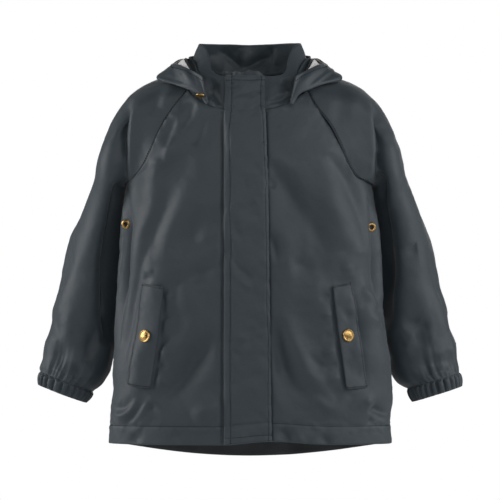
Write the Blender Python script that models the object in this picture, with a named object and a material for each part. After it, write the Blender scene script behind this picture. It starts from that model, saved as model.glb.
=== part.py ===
"""A child's hooded rain jacket, closed and filled out as if worn, with nobody inside.

Tables and sizes are in millimetres and become metres when a mesh is made. X runs to the
wearer's left, -Y is the front and +Z is up. The origin is on the neck's axis, where the
shoulders meet the neck. "right" and "left" are the wearer's: the right side is at -X.
"""
import math
from bisect import bisect_right
from collections import namedtuple

import bpy
from mathutils import Vector
from mathutils.bvhtree import BVHTree

MM = 0.001                 # metres in a millimetre

# ---- driving sizes, in millimetres ------------------------------------------------------------
CLOTH = 1.6                # coated cloth with its seam allowances
HEM_CLOTH = 2.6            # the cloth where the hem is turned up
HEM_DEPTH = 24.0
LINING = 1.0
SEAM_GAP = 0.4             # between pieces that are sewn together
UNDERARM_GAP = 1.2         # and where a sleeve turns down beside the body
LIFT = 0.7                 # between a panel and what lies on it
SPLIT_WAY = Vector((0.31, 0.17, 1.0))      # tells which end of a seam's edge is the lower one

SECTION_POWER = 2.4        # how square the torso's sections are: 2 is an ellipse
UNDERARM = -121.0          # height of the underarm point
HEM_HEIGHT = -457.5        # height of the front hem, and of the back's at its sides
TAIL_DROP = 17.5           # how much lower the back hem is at its centre
FRONT_EDGE = 5.0           # from the centre line to each front's zip edge
NECK_FRONT = -26.0         # height of the neck seam at the centre front
NECK_BACK = 24.0           # height of the neck seam at the centre back
FRONT_NECK_RISE = 2.2      # power of the front neck seam's curve
NECK_AXIS_Y = -5.0         # the neck's axis, for the collar's top edge

PANEL_COLUMNS = 10         # facets from the centre to the side
BODY_ROWS = 11             # facets from the hem to the underarm
YOKE_ROWS = 7              # facets from the underarm to the neck
NECK_POINTS = 3            # points of a sleeve's top on the neck seam
SHOULDER_ROWS = 5          # facets from the raglan seams to the sleeve's first full section
ARM_ROWS = 8               # facets from there to the cuff
COLLAR_ROWS = 3
CUFF_PLEATS = 12
CUFF_POINTS = 3 * CUFF_PLEATS
HOOD_COLUMNS = 32
HOOD_ROWS = 9

# ---- the torso: half widths and the places of its front, widest and back lines ------------------
Ring = namedtuple("Ring", "height right left side_y front_y back_y")
TORSO = [
    Ring(-480, 178, 183, -20, -98, 94),
    Ring(-435, 178, 184, -22, -99, 92),
    Ring(-389, 177, 183, -24, -99, 90),
    Ring(-313, 173, 178, -28, -99, 87),
    Ring(-237, 171, 173, -30, -97, 85),
    Ring(-186, 168, 169, -29, -95, 86),
    Ring(-139, 161, 162, -24, -92, 88),
    Ring(-121, 158, 159, -20, -91, 88),
    Ring(-72, 152, 150, -12, -86, 86),
    Ring(-24, 130, 124, -6, -73, 75),
    Ring(2, 106, 100, -4, -62, 64),
    Ring(30, 82, 80, -2, -52, 52),
]

# ---- the raglan seams: distance from the centre line at each height --------------------------
Seam = namedtuple("Seam", "height right left")
FRONT_RAGLAN = [
    Seam(-121, 158, 159), Seam(-112, 149, 143), Seam(-97, 137, 131), Seam(-74, 125, 120),
    Seam(-48, 114, 107), Seam(-20, 96, 86), Seam(2, 78, 74),
]
BACK_RAGLAN = [
    Seam(-121, 158, 159), Seam(-108, 147, 147), Seam(-85, 135, 134), Seam(-45, 111, 110),
    Seam(-8, 85, 84), Seam(27, 62, 62),
]

# ---- the sleeves: each full section's outer and inner point, its middle's y and its depth ------
Section = namedtuple("Section", "out_x out_z in_x in_z mid_y depth")
SLEEVE = {
    "right": [
        Section(202, -111, 159.5, -127, 13, 112),
        Section(214, -144, 159.5, -163, 27, 104),
        Section(227, -182, 162, -205, 35, 100),
        Section(240, -220, 163, -247, 35, 99),
        Section(252, -262, 165, -291, 36, 94),
        Section(263, -304, 171, -331, 35, 88),
        Section(271, -340, 180, -361, 32, 82),
        Section(274, -356, 191, -380, 30, 76),
        Section(273, -364, 204, -390, 28, 66),
    ],
    "left": [
        Section(206, -108, 160.5, -127, 13, 112),
        Section(219, -142, 160.5, -163, 26, 104),
        Section(230, -180, 164, -204, 32, 102),
        Section(243, -220, 167, -245, 35, 99),
        Section(254, -262, 170, -289, 37, 94),
        Section(266, -304, 174, -331, 36, 88),
        Section(274, -341, 184, -363, 34, 82),
        Section(276, -356, 193, -378, 32, 76),
        Section(275, -365, 207, -386, 29, 66),
    ],
}
SHOULDER_HANDLE = 0.47     # how far the shoulder's curve runs on from the neck, by its length
ARM_HANDLE = 0.42          # and how far it runs along the arm
SHOULDER_LIFT = 0.10       # upward lean of the shoulder line where it leaves the neck

# ---- the cuffs ---------------------------------------------------------------------------------
Cuff = namedtuple("Cuff", "out_x out_z in_x in_z mid_y depth")
CUFF_END = {
    "right": Cuff(275, -381, 214, -404, 25, 56),
    "left": Cuff(277, -383, 214, -403, 26, 56),
}
CUFF_ROWS = 3
CUFF_CLOTH = 1.4
CUFF_GAP = 0.5
PLEAT_DEPTH = 2.2
CUFF_BULGE = 2.4

# ---- the collar's top edge: turn from the front, reach from the neck's axis, height ---------------
Edge = namedtuple("Edge", "turn reach height")
COLLAR_TOP = [
    Edge(0, 56, 18), Edge(20, 57, 18), Edge(36, 63, 18.5), Edge(48, 64, 25), Edge(60, 59, 41),
    Edge(75, 59, 56), Edge(95, 67, 62.5), Edge(122, 67, 64), Edge(150, 62, 64), Edge(180, 59, 63),
]
COLLAR_BULGE = 2.5
COLLAR_STEP = 2.5          # smallest distance between the collar's columns

# ---- the hood: its neck edge, its lower fold and its face edge, from the front corner back --------
Station = namedtuple("Station", "neck fold face thick lift puff")
HOOD = [
    Station((-60, -65, -6), (-56, -76, -19), (-61, -71, 18), 5, 0, 0),
    Station((-65, -58, 8), (-65, -70, -6), (-71, -61, 24), 6.5, 0, 1),
    Station((-71, -48, 20), (-79, -60, 0), (-82, -48, 30), 7, 1, 1.5),
    Station((-77, -34, 33), (-96, -44, 6), (-91, -32, 34.5), 7.2, 0, 1),
    Station((-80, -18, 41), (-117.5, -21, 12.5), (-96, -14, 36.5), 6.8, -1, 0),
    Station((-81, 5, 43), (-111, 4, 18.5), (-96.5, 7, 37), 6.8, -2.5, 0),
    Station((-76, 31, 43), (-103, 35, 25), (-91, 32, 39), 7, -3, 0),
    Station((-60, 52, 43), (-101, 62, -4), (-80, 57, 40), 10, 3, 2),
    Station((-31, 64, 42), (-62, 94, -72), (-46, 80, 41), 13, 7, 7),
    Station((0, 67, 42), (0, 103, -104), (0, 91, 42), 16, 7, 9),
]
LINING_START = 4           # columns of the hood's front ends that the lining leaves free
LINING_ROWS = (0.2, 1.0, 1.7, 2.1)     # the lining's rows, from the neck edge to before the fold
LINING_GAP = 0.75          # between the hood and its lining
BAND_CLOTH = 1.2
BAND_TURN = 50.0           # how far round from the front the band starts
BAND_FLARE = 5.0           # how far the band's top edge stands off the collar at the sides
BAND_FLARE_SPAN = 95.0     # degrees over which it stands off
BAND_ROWS = ((0, 0.7, 0.0), (1, 0.0, 0.3), (1, 1.0, 1.0))    # collar row, share on, share of flare
HOOD_SNAP_RADIUS = 6.0
HOOD_SNAP_COLUMN = 1.35     # place of the hood's snap along and across the hood's grid
HOOD_SNAP_ROW = 4.6

# ---- the largest folds: a line on the front or back, its half width and its depth ---------------
Crease = namedtuple("Crease", "face x1 z1 x2 z2 width depth")
CREASES = [
    Crease("front", -70, -88, -129, -218, 16, -5),
    Crease("front", -44, -170, -96, -268, 14, 3.5),
    Crease("front", -31, -310, -116, -400, 16, -5),
    Crease("front", -118, -200, -160, -370, 12, -3.5),
    Crease("front", 30, -98, 118, -236, 16, -5),
    Crease("front", 66, -46, 104, -90, 16, 3.5),
    Crease("front", 112, -80, 150, -250, 14, -3.5),
    Crease("front", 52, -330, 130, -398, 18, 4),
    Crease("front", -153, -12, -162, -66, 12, -5),
    Crease("front", 162, -14, 166, -92, 12, -6),
    Crease("front", -186, -180, -180, -280, 10, -4),
    Crease("front", 190, -130, 215, -220, 12, 3),
    Crease("front", 205, -270, 240, -330, 13, -4),
    Crease("front", -226, -250, -236, -330, 12, 3),
    Crease("back", -80, -150, -20, -300, 20, -5),
    Crease("back", 90, -140, 40, -320, 20, -5),
    Crease("back", -60, -330, -120, -430, 18, 4),
    Crease("back", 70, -340, 120, -430, 18, -4),
    Crease("back", 205, -180, 235, -290, 13, -4),
    Crease("back", -205, -180, -235, -290, 13, -4),
]

# ---- what lies on the fronts ---------------------------------------------------------------------
FLAP_RIGHT = -30.5         # the storm flap's free edge
FLAP_LEFT_TOP = 20.0       # its sewn edge at the collar, at the chest and at the hem
FLAP_LEFT_CHEST = 23.0
FLAP_LEFT_HEM = 28.0
FLAP_CLOTH = 2.2
GUARD_RIGHT = -34.0        # the zip guard's ends, over the top edge of the collar
GUARD_LEFT = 19.0
GUARD_FOOT = 8.0           # its lower edge's height
GUARD_COLUMNS = 12
GUARD_CLOTH = 1.4
GUARD_CRUMPLE = 1.5        # how far it waves in and out
ZIP_TAPE_WIDTH = 26.0
ZIP_TAPE = 1.0
POCKET_CLOTH = 2.0
POCKET_LIFT = 0.95
POCKET_COLUMNS = 3
POCKET_ROWS = 9
Corner = namedtuple("Corner", "x z")
POCKETS = {
    "right": (Corner(-154, -379), Corner(-127, -383), Corner(-110, -253), Corner(-136, -249)),
    "left": (Corner(125, -384), Corner(151, -382), Corner(131, -248), Corner(107.5, -252)),
}
POCKET_SNAPS = {"right": Corner(-134, -317), "left": Corner(128.5, -317)}
EYELETS = {"right": Corner(-159, -172), "left": Corner(158, -176)}
SNAP_RADIUS = 7.5
SNAP_HEIGHT = 2.4
TURNED_FACETS = 24
EYELET_RADIUS = 5.5
EYELET_WASHER = 4.2
EYELET_BARREL = 3.0
EYELET_BORE = 2.3
EYELET_HOLE = 3.4


# ---- curves and points -----------------------------------------------------------------------------
def along(table, at, column):
    """Value of a column at a key, on a smooth curve through the table's rows."""
    keys = [row[0] for row in table]
    values = [getattr(row, column) for row in table]
    return smooth_value(keys, values, at)


def smooth_value(keys, values, at):
    """Cubic curve through the values, with each slope taken from its two neighbours."""
    last = len(keys) - 1
    i = max(0, min(last - 1, bisect_right(keys, at) - 1))
    span = keys[i + 1] - keys[i]
    t = max(0.0, min(1.0, (at - keys[i]) / span))

    def slope(k):
        low, high = max(0, k - 1), min(last, k + 1)
        return (values[high] - values[low]) / (keys[high] - keys[low]) * span

    return ((2 * t ** 3 - 3 * t ** 2 + 1) * values[i] + (t ** 3 - 2 * t ** 2 + t) * slope(i)
            + (3 * t ** 2 - 2 * t ** 3) * values[i + 1] + (t ** 3 - t ** 2) * slope(i + 1))


def smooth_point(points, at):
    """Point on a smooth curve through evenly numbered points."""
    keys = list(range(len(points)))
    return Vector([smooth_value(keys, [p[axis] for p in points], at) for axis in range(3)])


def sign_of(side):
    """-1 on the wearer's right, +1 on the left."""
    return -1.0 if side == "right" else 1.0


def panel_edge(side, height, raglan):
    """Distance of a panel's side edge from the centre line: side seam, then raglan seam."""
    if height <= UNDERARM:
        return along(TORSO, height, side)
    return along(raglan, height, side)


def torso_y(side, x, height, face):
    """Depth of the torso's front or back surface at a distance from the centre line."""
    width = along(TORSO, height, side)
    side_y = along(TORSO, height, "side_y")
    far_y = along(TORSO, height, face + "_y")
    share = max(0.0, 1.0 - min(1.0, x / width) ** SECTION_POWER) ** (1.0 / SECTION_POWER)
    return side_y + (far_y - side_y) * share


def torso_point(side, share, height, face, raglan):
    """Point of a panel at a share of the way from the centre line to its side edge."""
    x = share * panel_edge(side, height, raglan)
    return Vector((sign_of(side) * x, torso_y(side, x, height, face), height))


def column_share(column):
    """Share of the way to the side, closer together where the section turns."""
    return math.sin(math.pi / 2 * column / PANEL_COLUMNS) ** (2.0 / SECTION_POWER)


def front_panel(side):
    """Rows of points from the hem up, each from the zip edge to the side."""
    edge_share = FRONT_EDGE / along(TORSO, UNDERARM, side)
    shares = [max(edge_share, column_share(c)) for c in range(PANEL_COLUMNS + 1)]
    raglan_top = FRONT_RAGLAN[-1].height
    rows = []
    for r in range(BODY_ROWS + 1):
        height = body_height(HEM_HEIGHT, r)
        rows.append([torso_point(side, s, height, "front", FRONT_RAGLAN) for s in shares])
    for r in range(1, YOKE_ROWS + 1):
        rise = r / YOKE_ROWS
        row = []
        for s in shares:
            top = NECK_FRONT + (raglan_top - NECK_FRONT) * s ** FRONT_NECK_RISE
            height = UNDERARM + rise * (top - UNDERARM)
            row.append(torso_point(side, s, height, "front", FRONT_RAGLAN))
        rows.append(row)
    return rows


def back_half(side):
    """Rows of points of half the back, each from the centre line to the side."""
    shares = [column_share(c) for c in range(PANEL_COLUMNS + 1)]
    raglan_top = BACK_RAGLAN[-1].height
    rows = []
    for r in range(BODY_ROWS + 1):
        row = []
        for s in shares:
            hem = HEM_HEIGHT - TAIL_DROP * (1.0 - s * s)
            row.append(torso_point(side, s, body_height(hem, r), "back", BACK_RAGLAN))
        rows.append(row)
    for r in range(1, YOKE_ROWS + 1):
        rise = r / YOKE_ROWS
        row = []
        for s in shares:
            top = NECK_BACK + (raglan_top - NECK_BACK) * s * s
            height = UNDERARM + rise * (top - UNDERARM)
            row.append(torso_point(side, s, height, "back", BACK_RAGLAN))
        rows.append(row)
    return rows


def body_height(hem, row):
    """Height of a row below the underarm: the first two rows are the turned hem."""
    if row == 0:
        return hem
    return hem + HEM_DEPTH + (UNDERARM - hem - HEM_DEPTH) * (row - 1) / (BODY_ROWS - 1)


def armhole(side, front, back):
    """The loop that a sleeve is sewn to, from the underarm up the front and down the back."""
    front_seam = [row[-1] for row in front[BODY_ROWS:]]
    back_seam = [row[-1] for row in back[BODY_ROWS:]]
    top_front, top_back = front_seam[-1], back_seam[-1]
    crest = Vector((sign_of(side) * 84.0, 0.5 * (top_front.y + top_back.y), 21.0))
    neck = []
    for k in range(1, NECK_POINTS + 1):
        t = k / (NECK_POINTS + 1)
        neck.append(bezier(top_front, top_front.lerp(crest, 0.9), top_back.lerp(crest, 0.9),
                           top_back, t))
    return front_seam + neck + back_seam[:0:-1]


def bezier(a, b, c, d, t):
    """Point on a cubic curve from a to d, with b and c as its handles."""
    s = 1.0 - t
    return a * s ** 3 + b * (3 * s * s * t) + c * (3 * s * t * t) + d * t ** 3


def section_frame(side, section):
    """Middle of a sleeve's section, its half width towards the body and its half depth."""
    sign = sign_of(side)
    outer = Vector((sign * section.out_x, section.mid_y, section.out_z))
    inner = Vector((sign * section.in_x, section.mid_y, section.in_z))
    middle = (outer + inner) / 2
    return middle, inner - middle, Vector((0.0, -section.depth / 2, 0.0))


def section_point(frame, turn):
    """Point on a section: 0 is towards the body, a quarter turn is the front."""
    middle, across, ahead = frame
    return middle + across * math.cos(turn) + ahead * math.sin(turn)


def blended_section(sections, at):
    """Section at a place between the table's rows."""
    keys = list(range(len(sections)))
    return Section(*[smooth_value(keys, [row[k] for row in sections], at) for k in range(6)])


def loop_turns(loop, start, crest):
    """Angle round the arm of each point of the armhole, from the underarm point's angle.

    crest is the number of the point on top of the shoulder, which is half a turn round.
    """
    steps = [(q - p).length for p, q in zip(loop, loop[1:] + loop[:1])]
    front, back = sum(steps[:crest]), sum(steps[crest:])
    turns = []
    for k in range(len(loop)):
        if k <= crest:
            turns.append(start + (math.pi - start) * sum(steps[:k]) / front)
        else:
            turns.append(math.pi + (math.pi + start) * sum(steps[crest:k]) / back)
    return turns


def sleeve(side, loop, front, back):
    """Rows of points from the raglan seams to the cuff, each all round the arm."""
    table = SLEEVE[side]
    first = section_frame(side, table[0])
    start_turn = math.asin((first[0].y - loop[0].y) / first[2].length)
    crest = YOKE_ROWS + (NECK_POINTS + 1) // 2
    turns = loop_turns(loop, start_turn, crest)
    arm_way = (section_frame(side, table[1])[0] - first[0]).normalized()
    rows = [list(loop)]
    for r in range(1, SHOULDER_ROWS):
        t = r / SHOULDER_ROWS
        row = []
        for k, start in enumerate(loop):
            end = section_point(first, turns[k])
            reach = (end - start).length
            leave = leaving_way(side, k, front, back)
            low = max(0.0, math.cos(turns[k] - start_turn)) ** 2
            leave = leave.lerp((end - start).normalized(), low).normalized()
            row.append(bezier(start, start + leave * reach * SHOULDER_HANDLE,
                              end - arm_way * reach * ARM_HANDLE, end, t))
        rows.append(row)
    for r in range(ARM_ROWS + 1):
        at = (len(table) - 1) * r / ARM_ROWS
        frame = section_frame(side, blended_section(table, at))
        rows.append([section_point(frame, turn) for turn in turns])
    return rows


def leaving_way(side, k, front, back):
    """Direction in which the sleeve's cloth leaves the raglan seams or the neck."""
    shoulder = Vector((sign_of(side), 0.0, SHOULDER_LIFT)).normalized()
    if k <= YOKE_ROWS:
        row, height = front[BODY_ROWS + k], k / YOKE_ROWS
    elif k > YOKE_ROWS + NECK_POINTS:
        height = (2 * YOKE_ROWS + NECK_POINTS + 1 - k) / YOKE_ROWS
        row = back[BODY_ROWS + 2 * YOKE_ROWS + NECK_POINTS + 1 - k]
    else:
        return shoulder
    over = (row[-1] - row[-3]).normalized()
    return over.lerp(shoulder, height ** 2).normalized()


def spaced(points):
    """The points without those that stand closer than COLLAR_STEP to the one before."""
    kept = [points[0]]
    for p in points[1:-1]:
        if (p - kept[-1]).length > COLLAR_STEP:
            kept.append(p)
    return kept + points[-1:]


def collar_grid(base):
    """Rows of points from the neck seam to the collar's top edge, all round from the left front."""
    rows = [[p.copy() for p in base]]
    for r in range(1, COLLAR_ROWS + 1):
        rise = r / COLLAR_ROWS
        row = []
        for p in base:
            turn = math.degrees(math.atan2(abs(p.x), NECK_AXIS_Y - p.y))
            reach = along(COLLAR_TOP, turn, "reach")
            angle = math.radians(turn)
            side = 1.0 if p.x > 0 else -1.0
            top = Vector((side * reach * math.sin(angle), NECK_AXIS_Y - reach * math.cos(angle),
                          along(COLLAR_TOP, turn, "height")))
            out = Vector((top.x, top.y - NECK_AXIS_Y, 0.0)).normalized()
            full = min(1.0, turn / 60.0)
            row.append(p.lerp(top, rise) + out * COLLAR_BULGE * full * math.sin(math.pi * rise))
        rows.append(row)
    for row in rows[1:]:
        row[0].x, row[-1].x = base[0].x, base[-1].x
    return rows


def hood_grid():
    """Rows of points across the hood, from its neck edge round its fold to its face edge.

    The columns go round from the left front corner to the right one.
    """
    keys = list(range(len(HOOD)))
    columns = []
    for c in range(HOOD_COLUMNS + 1):
        at = 2.0 * c / HOOD_COLUMNS
        mirror = -1.0 if at < 1.0 else 1.0
        place = (len(HOOD) - 1) * (at if at < 1.0 else 2.0 - at)
        neck = smooth_point([s.neck for s in HOOD], place)
        fold = smooth_point([s.fold for s in HOOD], place)
        face = smooth_point([s.face for s in HOOD], place)
        thick, lift, puff = [smooth_value(keys, [s[k] for s in HOOD], place) for k in (3, 4, 5)]
        onward = (smooth_point([s.fold for s in HOOD], min(keys[-1], place + 0.2))
                  - smooth_point([s.fold for s in HOOD], max(0.0, place - 0.2)))
        down = (fold - neck).normalized()
        away = down.cross(onward).normalized()
        if away.dot(Vector((fold.x, fold.y, 120.0))) < 0.0:
            away.negate()
        path = [
            neck,
            neck.lerp(fold, 0.5) + away * lift,
            fold - down * thick * 0.5,
            fold + away * thick * 0.5,
            fold + away * thick - down * thick * 0.5,
            (fold + away * thick).lerp(face, 0.5) + away * puff,
            face,
        ]
        column = [smooth_point(path, (len(path) - 1) * r / HOOD_ROWS) for r in range(HOOD_ROWS + 1)]
        for p in column:
            p.x *= mirror
        columns.append(column)
    return [[column[r] for column in columns] for r in range(HOOD_ROWS + 1)]


# ---- cloth ---------------------------------------------------------------------------------------
def key_of(point):
    """The same key for points of two pieces that meet."""
    return tuple(round(value, 3) for value in point)


def shared_normals(pieces):
    """Outward normal at each point, shared by the pieces that meet there.

    pieces holds pairs of a grid and whether it closes into a ring.
    """
    total = {}
    for grid, ring in pieces:
        count = len(grid[0])
        for r in range(len(grid) - 1):
            for c in range(count if ring else count - 1):
                d = (c + 1) % count
                corners = (grid[r][c], grid[r][d], grid[r + 1][d], grid[r + 1][c])
                normal = (corners[2] - corners[0]).cross(corners[3] - corners[1])
                for p in corners:
                    total[key_of(p)] = total.get(key_of(p), Vector()) + normal
    return {key: normal.normalized() for key, normal in total.items()}


def seam_directions(grids, rings):
    """Direction of the wall at each point of each piece.

    Pieces share one direction at a seam, so that their edges meet, except where a seam lies
    in a fold as deep as the underarm's: there each keeps its own.
    """
    own = {name: shared_normals([(grid, name in rings)]) for name, grid in grids.items()}
    torso = shared_normals([(grid, False) for name, grid in grids.items() if name not in rings])
    directions = {}
    for name, table in own.items():
        mine = {}
        for key, normal in table.items():
            if name in rings:
                others = [torso[key]] if key in torso else []
            else:
                normal = torso[key]
                others = [own[ring][key] for ring in rings if key in own[ring]]
            for other in others:
                share = max(0.0, min(1.0, (normal.dot(other) + 0.2) / 0.5))
                normal = normal + other * share
            mine[key] = normal.normalized()
        directions[name] = mine
    return directions


def crease_depth(point, normal):
    """How far the largest folds move a point of the cloth along its normal."""
    depth = 0.0
    for crease in CREASES:
        facing = -normal.y if crease.face == "front" else normal.y
        start = Vector((crease.x1, crease.z1))
        way = Vector((crease.x2, crease.z2)) - start
        place = Vector((point.x, point.z)) - start
        share = max(0.0, min(1.0, place.dot(way) / way.length_squared))
        distance = (place - way * share).length / crease.width
        if facing > 0.0 and distance < 3.0:
            depth += crease.depth * min(1.0, facing / 0.4) * math.exp(-distance * distance)
    return depth


def creased(grid, normals):
    """The grid with the largest folds worked in."""
    return [[p + normals[key_of(p)] * crease_depth(p, normals[key_of(p)]) for p in row]
            for row in grid]


def cloth_faces(outer, rows, columns, ring):
    """Corner numbers of a wall's triangles: outer side, inner side and edges.

    Both sides are split along the same diagonals, so the wall keeps its thickness where
    it twists. An edge is split from its lower outer point, as its neighbour's is.
    """
    size = rows * columns
    spans = columns if ring else columns - 1
    faces = []

    def edge(a, b):
        if outer[a].dot(SPLIT_WAY) < outer[b].dot(SPLIT_WAY):
            faces.extend([(size + a, size + b, a), (size + b, b, a)])
        else:
            faces.extend([(size + a, size + b, b), (size + a, b, a)])

    for r in range(rows - 1):
        for c in range(spans):
            d = (c + 1) % columns
            a, b = r * columns + c, r * columns + d
            e, f = b + columns, a + columns
            faces.extend([(a, b, e), (a, e, f)])
            faces.extend([(size + a, size + e, size + b), (size + a, size + f, size + e)])
    top = (rows - 1) * columns
    for c in range(spans):
        d = (c + 1) % columns
        edge(c, d)
        edge(top + d, top + c)
    if not ring:
        for r in range(rows - 1):
            a = r * columns
            edge(a + columns, a)
            edge(a + columns - 1, a + 2 * columns - 1)
    return faces


def draw_back(grid, sides, ring):
    """Moves of the border points of the sewn sides, which leave the gap at each seam."""
    rows, columns = len(grid), len(grid[0])
    moves = [[Vector() for _ in range(columns)] for _ in range(rows)]

    def shift(r, c, inward, before, after, gap=SEAM_GAP):
        seam = (after - before).normalized()
        way = inward - grid[r][c]
        way -= seam * way.dot(seam)
        moves[r][c] += way.normalized() * gap / 2

    for r in range(rows):
        before, after = grid[max(0, r - 1)], grid[min(rows - 1, r + 1)]
        if "start" in sides:
            shift(r, 0, grid[r][1], before[0], after[0])
        if "end" in sides:
            shift(r, columns - 1, grid[r][-2], before[-1], after[-1])
    for c in range(columns):
        last = c - 1 if ring else max(0, c - 1)
        following = (c + 1) % columns if ring else min(columns - 1, c + 1)
        if "bottom" in sides:
            gap = UNDERARM_GAP if ring and c == 0 else SEAM_GAP
            shift(0, c, grid[1][c], grid[0][last], grid[0][following], gap)
        if "top" in sides:
            shift(rows - 1, c, grid[-2][c], grid[-1][last], grid[-1][following])
    return moves


def cloth(name, grid, normals, walls, sides=(), ring=False, material="cloth"):
    """A closed wall of cloth on a grid of outer points, as an object."""
    moves = draw_back(grid, sides, ring)
    outer = [p + moves[r][c] for r, row in enumerate(grid) for c, p in enumerate(row)]
    inner = [p + moves[r][c] - normals[key_of(p)] * walls[r]
             for r, row in enumerate(grid) for c, p in enumerate(row)]
    faces = cloth_faces(outer, len(grid), len(grid[0]), ring)
    return mesh_object(name, outer + inner, faces, material)


def mesh_object(name, points, faces, material, sharp=60.0):
    """An object from points in millimetres, shaded smooth except at its edges."""
    mesh = bpy.data.meshes.new(name)
    mesh.from_pydata([p * MM for p in points], [], faces)
    mesh.shade_smooth()
    mesh.set_sharp_from_angle(angle=math.radians(sharp))
    mesh.materials.append(material_for(material))
    obj = bpy.data.objects.new(name, mesh)
    bpy.context.scene.collection.objects.link(obj)
    return obj


def surface_of(grids):
    """A tree of faces for placing what lies on the cloth."""
    points, faces = [], []
    for grid in grids:
        first = len(points)
        columns = len(grid[0])
        points += [p for row in grid for p in row]
        for r in range(len(grid) - 1):
            for c in range(columns - 1):
                a = first + r * columns + c
                faces.append((a, a + 1, a + columns + 1))
                faces.append((a, a + columns + 1, a + columns))
    return BVHTree.FromPolygons(points, faces)


def on_front(tree, x, z):
    """Point and outward normal of the fronts, seen straight from the front."""
    point, normal, _, _ = tree.ray_cast(Vector((x, -400.0, z)), Vector((0.0, 1.0, 0.0)))
    return point, -normal if normal.y > 0.0 else normal


# ---- the pieces ----------------------------------------------------------------------------------
def cuff_grid(side):
    """Rows of points of a cuff, gathered into pleats, from the sleeve's end down."""
    end = section_frame(side, CUFF_END[side])
    start = section_frame(side, SLEEVE[side][-1])
    gap = (end[0] - start[0]).normalized() * CUFF_GAP
    start = (start[0] + gap, start[1], start[2])
    rows = []
    for r in range(CUFF_ROWS + 1):
        fall = r / CUFF_ROWS
        frame = [p.lerp(q, fall) for p, q in zip(start, end)]
        swell = 1.0 + CUFF_BULGE / end[1].length * math.sin(math.pi * fall)
        row = []
        for k in range(CUFF_POINTS):
            turn = 2 * math.pi * k / CUFF_POINTS
            pleat = PLEAT_DEPTH * math.sin(CUFF_PLEATS * turn + 0.8 * math.sin(3 * turn))
            p = section_point((frame[0], frame[1] * swell, frame[2] * swell), turn)
            out = (p - frame[0]).normalized()
            row.append(p + out * pleat * (0.5 + 0.5 * math.sin(math.pi * fall)))
        rows.append(row)
    return rows


def facing_out(side, grid):
    """The grid with its points going round so that its faces look out."""
    if side == "right":
        return grid
    return [row[:1] + row[:0:-1] for row in grid]


def flap_grid(panels):
    """Rows of points across the storm flap, on the points of the fronts and the collar."""
    rows = []
    for right, left in panels:
        height = 0.5 * (right[0].z + left[0].z)
        if height > NECK_FRONT:
            left_edge = FLAP_LEFT_TOP
        elif height > UNDERARM:
            left_edge = FLAP_LEFT_CHEST
        else:
            left_edge = smooth_value([HEM_HEIGHT, UNDERARM], [FLAP_LEFT_HEM, FLAP_LEFT_CHEST],
                                     height)
        rows.append([point_between(right, FLAP_RIGHT), right[0], left[0],
                     point_between(left, left_edge)])
    return rows


def point_between(row, x):
    """Point of a row at a distance from the centre line."""
    for a, b in zip(row, row[1:]):
        if abs(a.x) <= abs(x) <= abs(b.x):
            return a.lerp(b, (x - a.x) / (b.x - a.x))
    return row[0]


def raised(grid, height):
    """The grid moved out along its own normals, and those normals."""
    normals = shared_normals([(grid, False)])
    lifted = [[p + normals[key_of(p)] * height for p in row] for row in grid]
    return lifted, {key_of(q): normals[key_of(p)]
                    for row, upper in zip(grid, lifted) for p, q in zip(row, upper)}


def pocket_grid(tree, corners):
    """Rows of points of a pocket flap between its four corners, on the front's surface."""
    low_in, low_out, high_out, high_in = [Vector((c.x, 0.0, c.z)) for c in corners]
    rows = []
    for r in range(POCKET_ROWS + 1):
        up = r / POCKET_ROWS
        start, end = low_in.lerp(high_in, up), low_out.lerp(high_out, up)
        row = [start.lerp(end, c / POCKET_COLUMNS) for c in range(POCKET_COLUMNS + 1)]
        rows.append([on_front(tree, p.x, p.z)[0] for p in row])
    return rows


def turned(name, profile, place, normal, hollow):
    """A brass solid turned from a profile of radius and height, standing on a surface.

    A hollow one has a closed profile. One that isn't hollow is closed by a flat at each end.
    """
    points, faces = [], []
    spin = normal.to_track_quat("Z", "Y")
    for radius, height in profile:
        for k in range(TURNED_FACETS):
            angle = 2 * math.pi * k / TURNED_FACETS
            local = Vector((radius * math.cos(angle), radius * math.sin(angle), height))
            points.append(place + spin @ local)
    rings = len(profile)
    for i in range(rings if hollow else rings - 1):
        low, high = i * TURNED_FACETS, (i + 1) % rings * TURNED_FACETS
        for k in range(TURNED_FACETS):
            j = (k + 1) % TURNED_FACETS
            faces.append((low + k, low + j, high + j, high + k))
    if not hollow:
        faces.append(tuple(reversed(range(TURNED_FACETS))))
        faces.append(tuple(range((rings - 1) * TURNED_FACETS, rings * TURNED_FACETS)))
    return mesh_object(name, points, faces, "brass", sharp=35.0)


def snap(name, place, normal, radius):
    """A snap's cap: a low dome with a rolled rim."""
    profile = [(radius, 0.0), (radius, 0.45 * SNAP_HEIGHT), (0.93 * radius, 0.8 * SNAP_HEIGHT),
               (0.8 * radius, 0.75 * SNAP_HEIGHT), (0.5 * radius, SNAP_HEIGHT)]
    return turned(name, profile, place, normal, hollow=False)


def eyelet(name, place, normal):
    """A vent eyelet: a flat ring outside, a barrel through the cloth and a washer inside."""
    top = LIFT + 0.2
    inside = -CLOTH - 2 * LIFT
    profile = [(EYELET_BORE, inside - 0.8), (EYELET_WASHER, inside - 0.8),
               (EYELET_WASHER, inside), (EYELET_BARREL, inside), (EYELET_BARREL, top),
               (EYELET_RADIUS, top), (EYELET_RADIUS - 0.4, top + 0.8),
               (EYELET_BORE + 0.5, top + 1.0), (EYELET_BORE, top + 0.5)]
    return turned(name, profile, place, normal, hollow=True)


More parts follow.
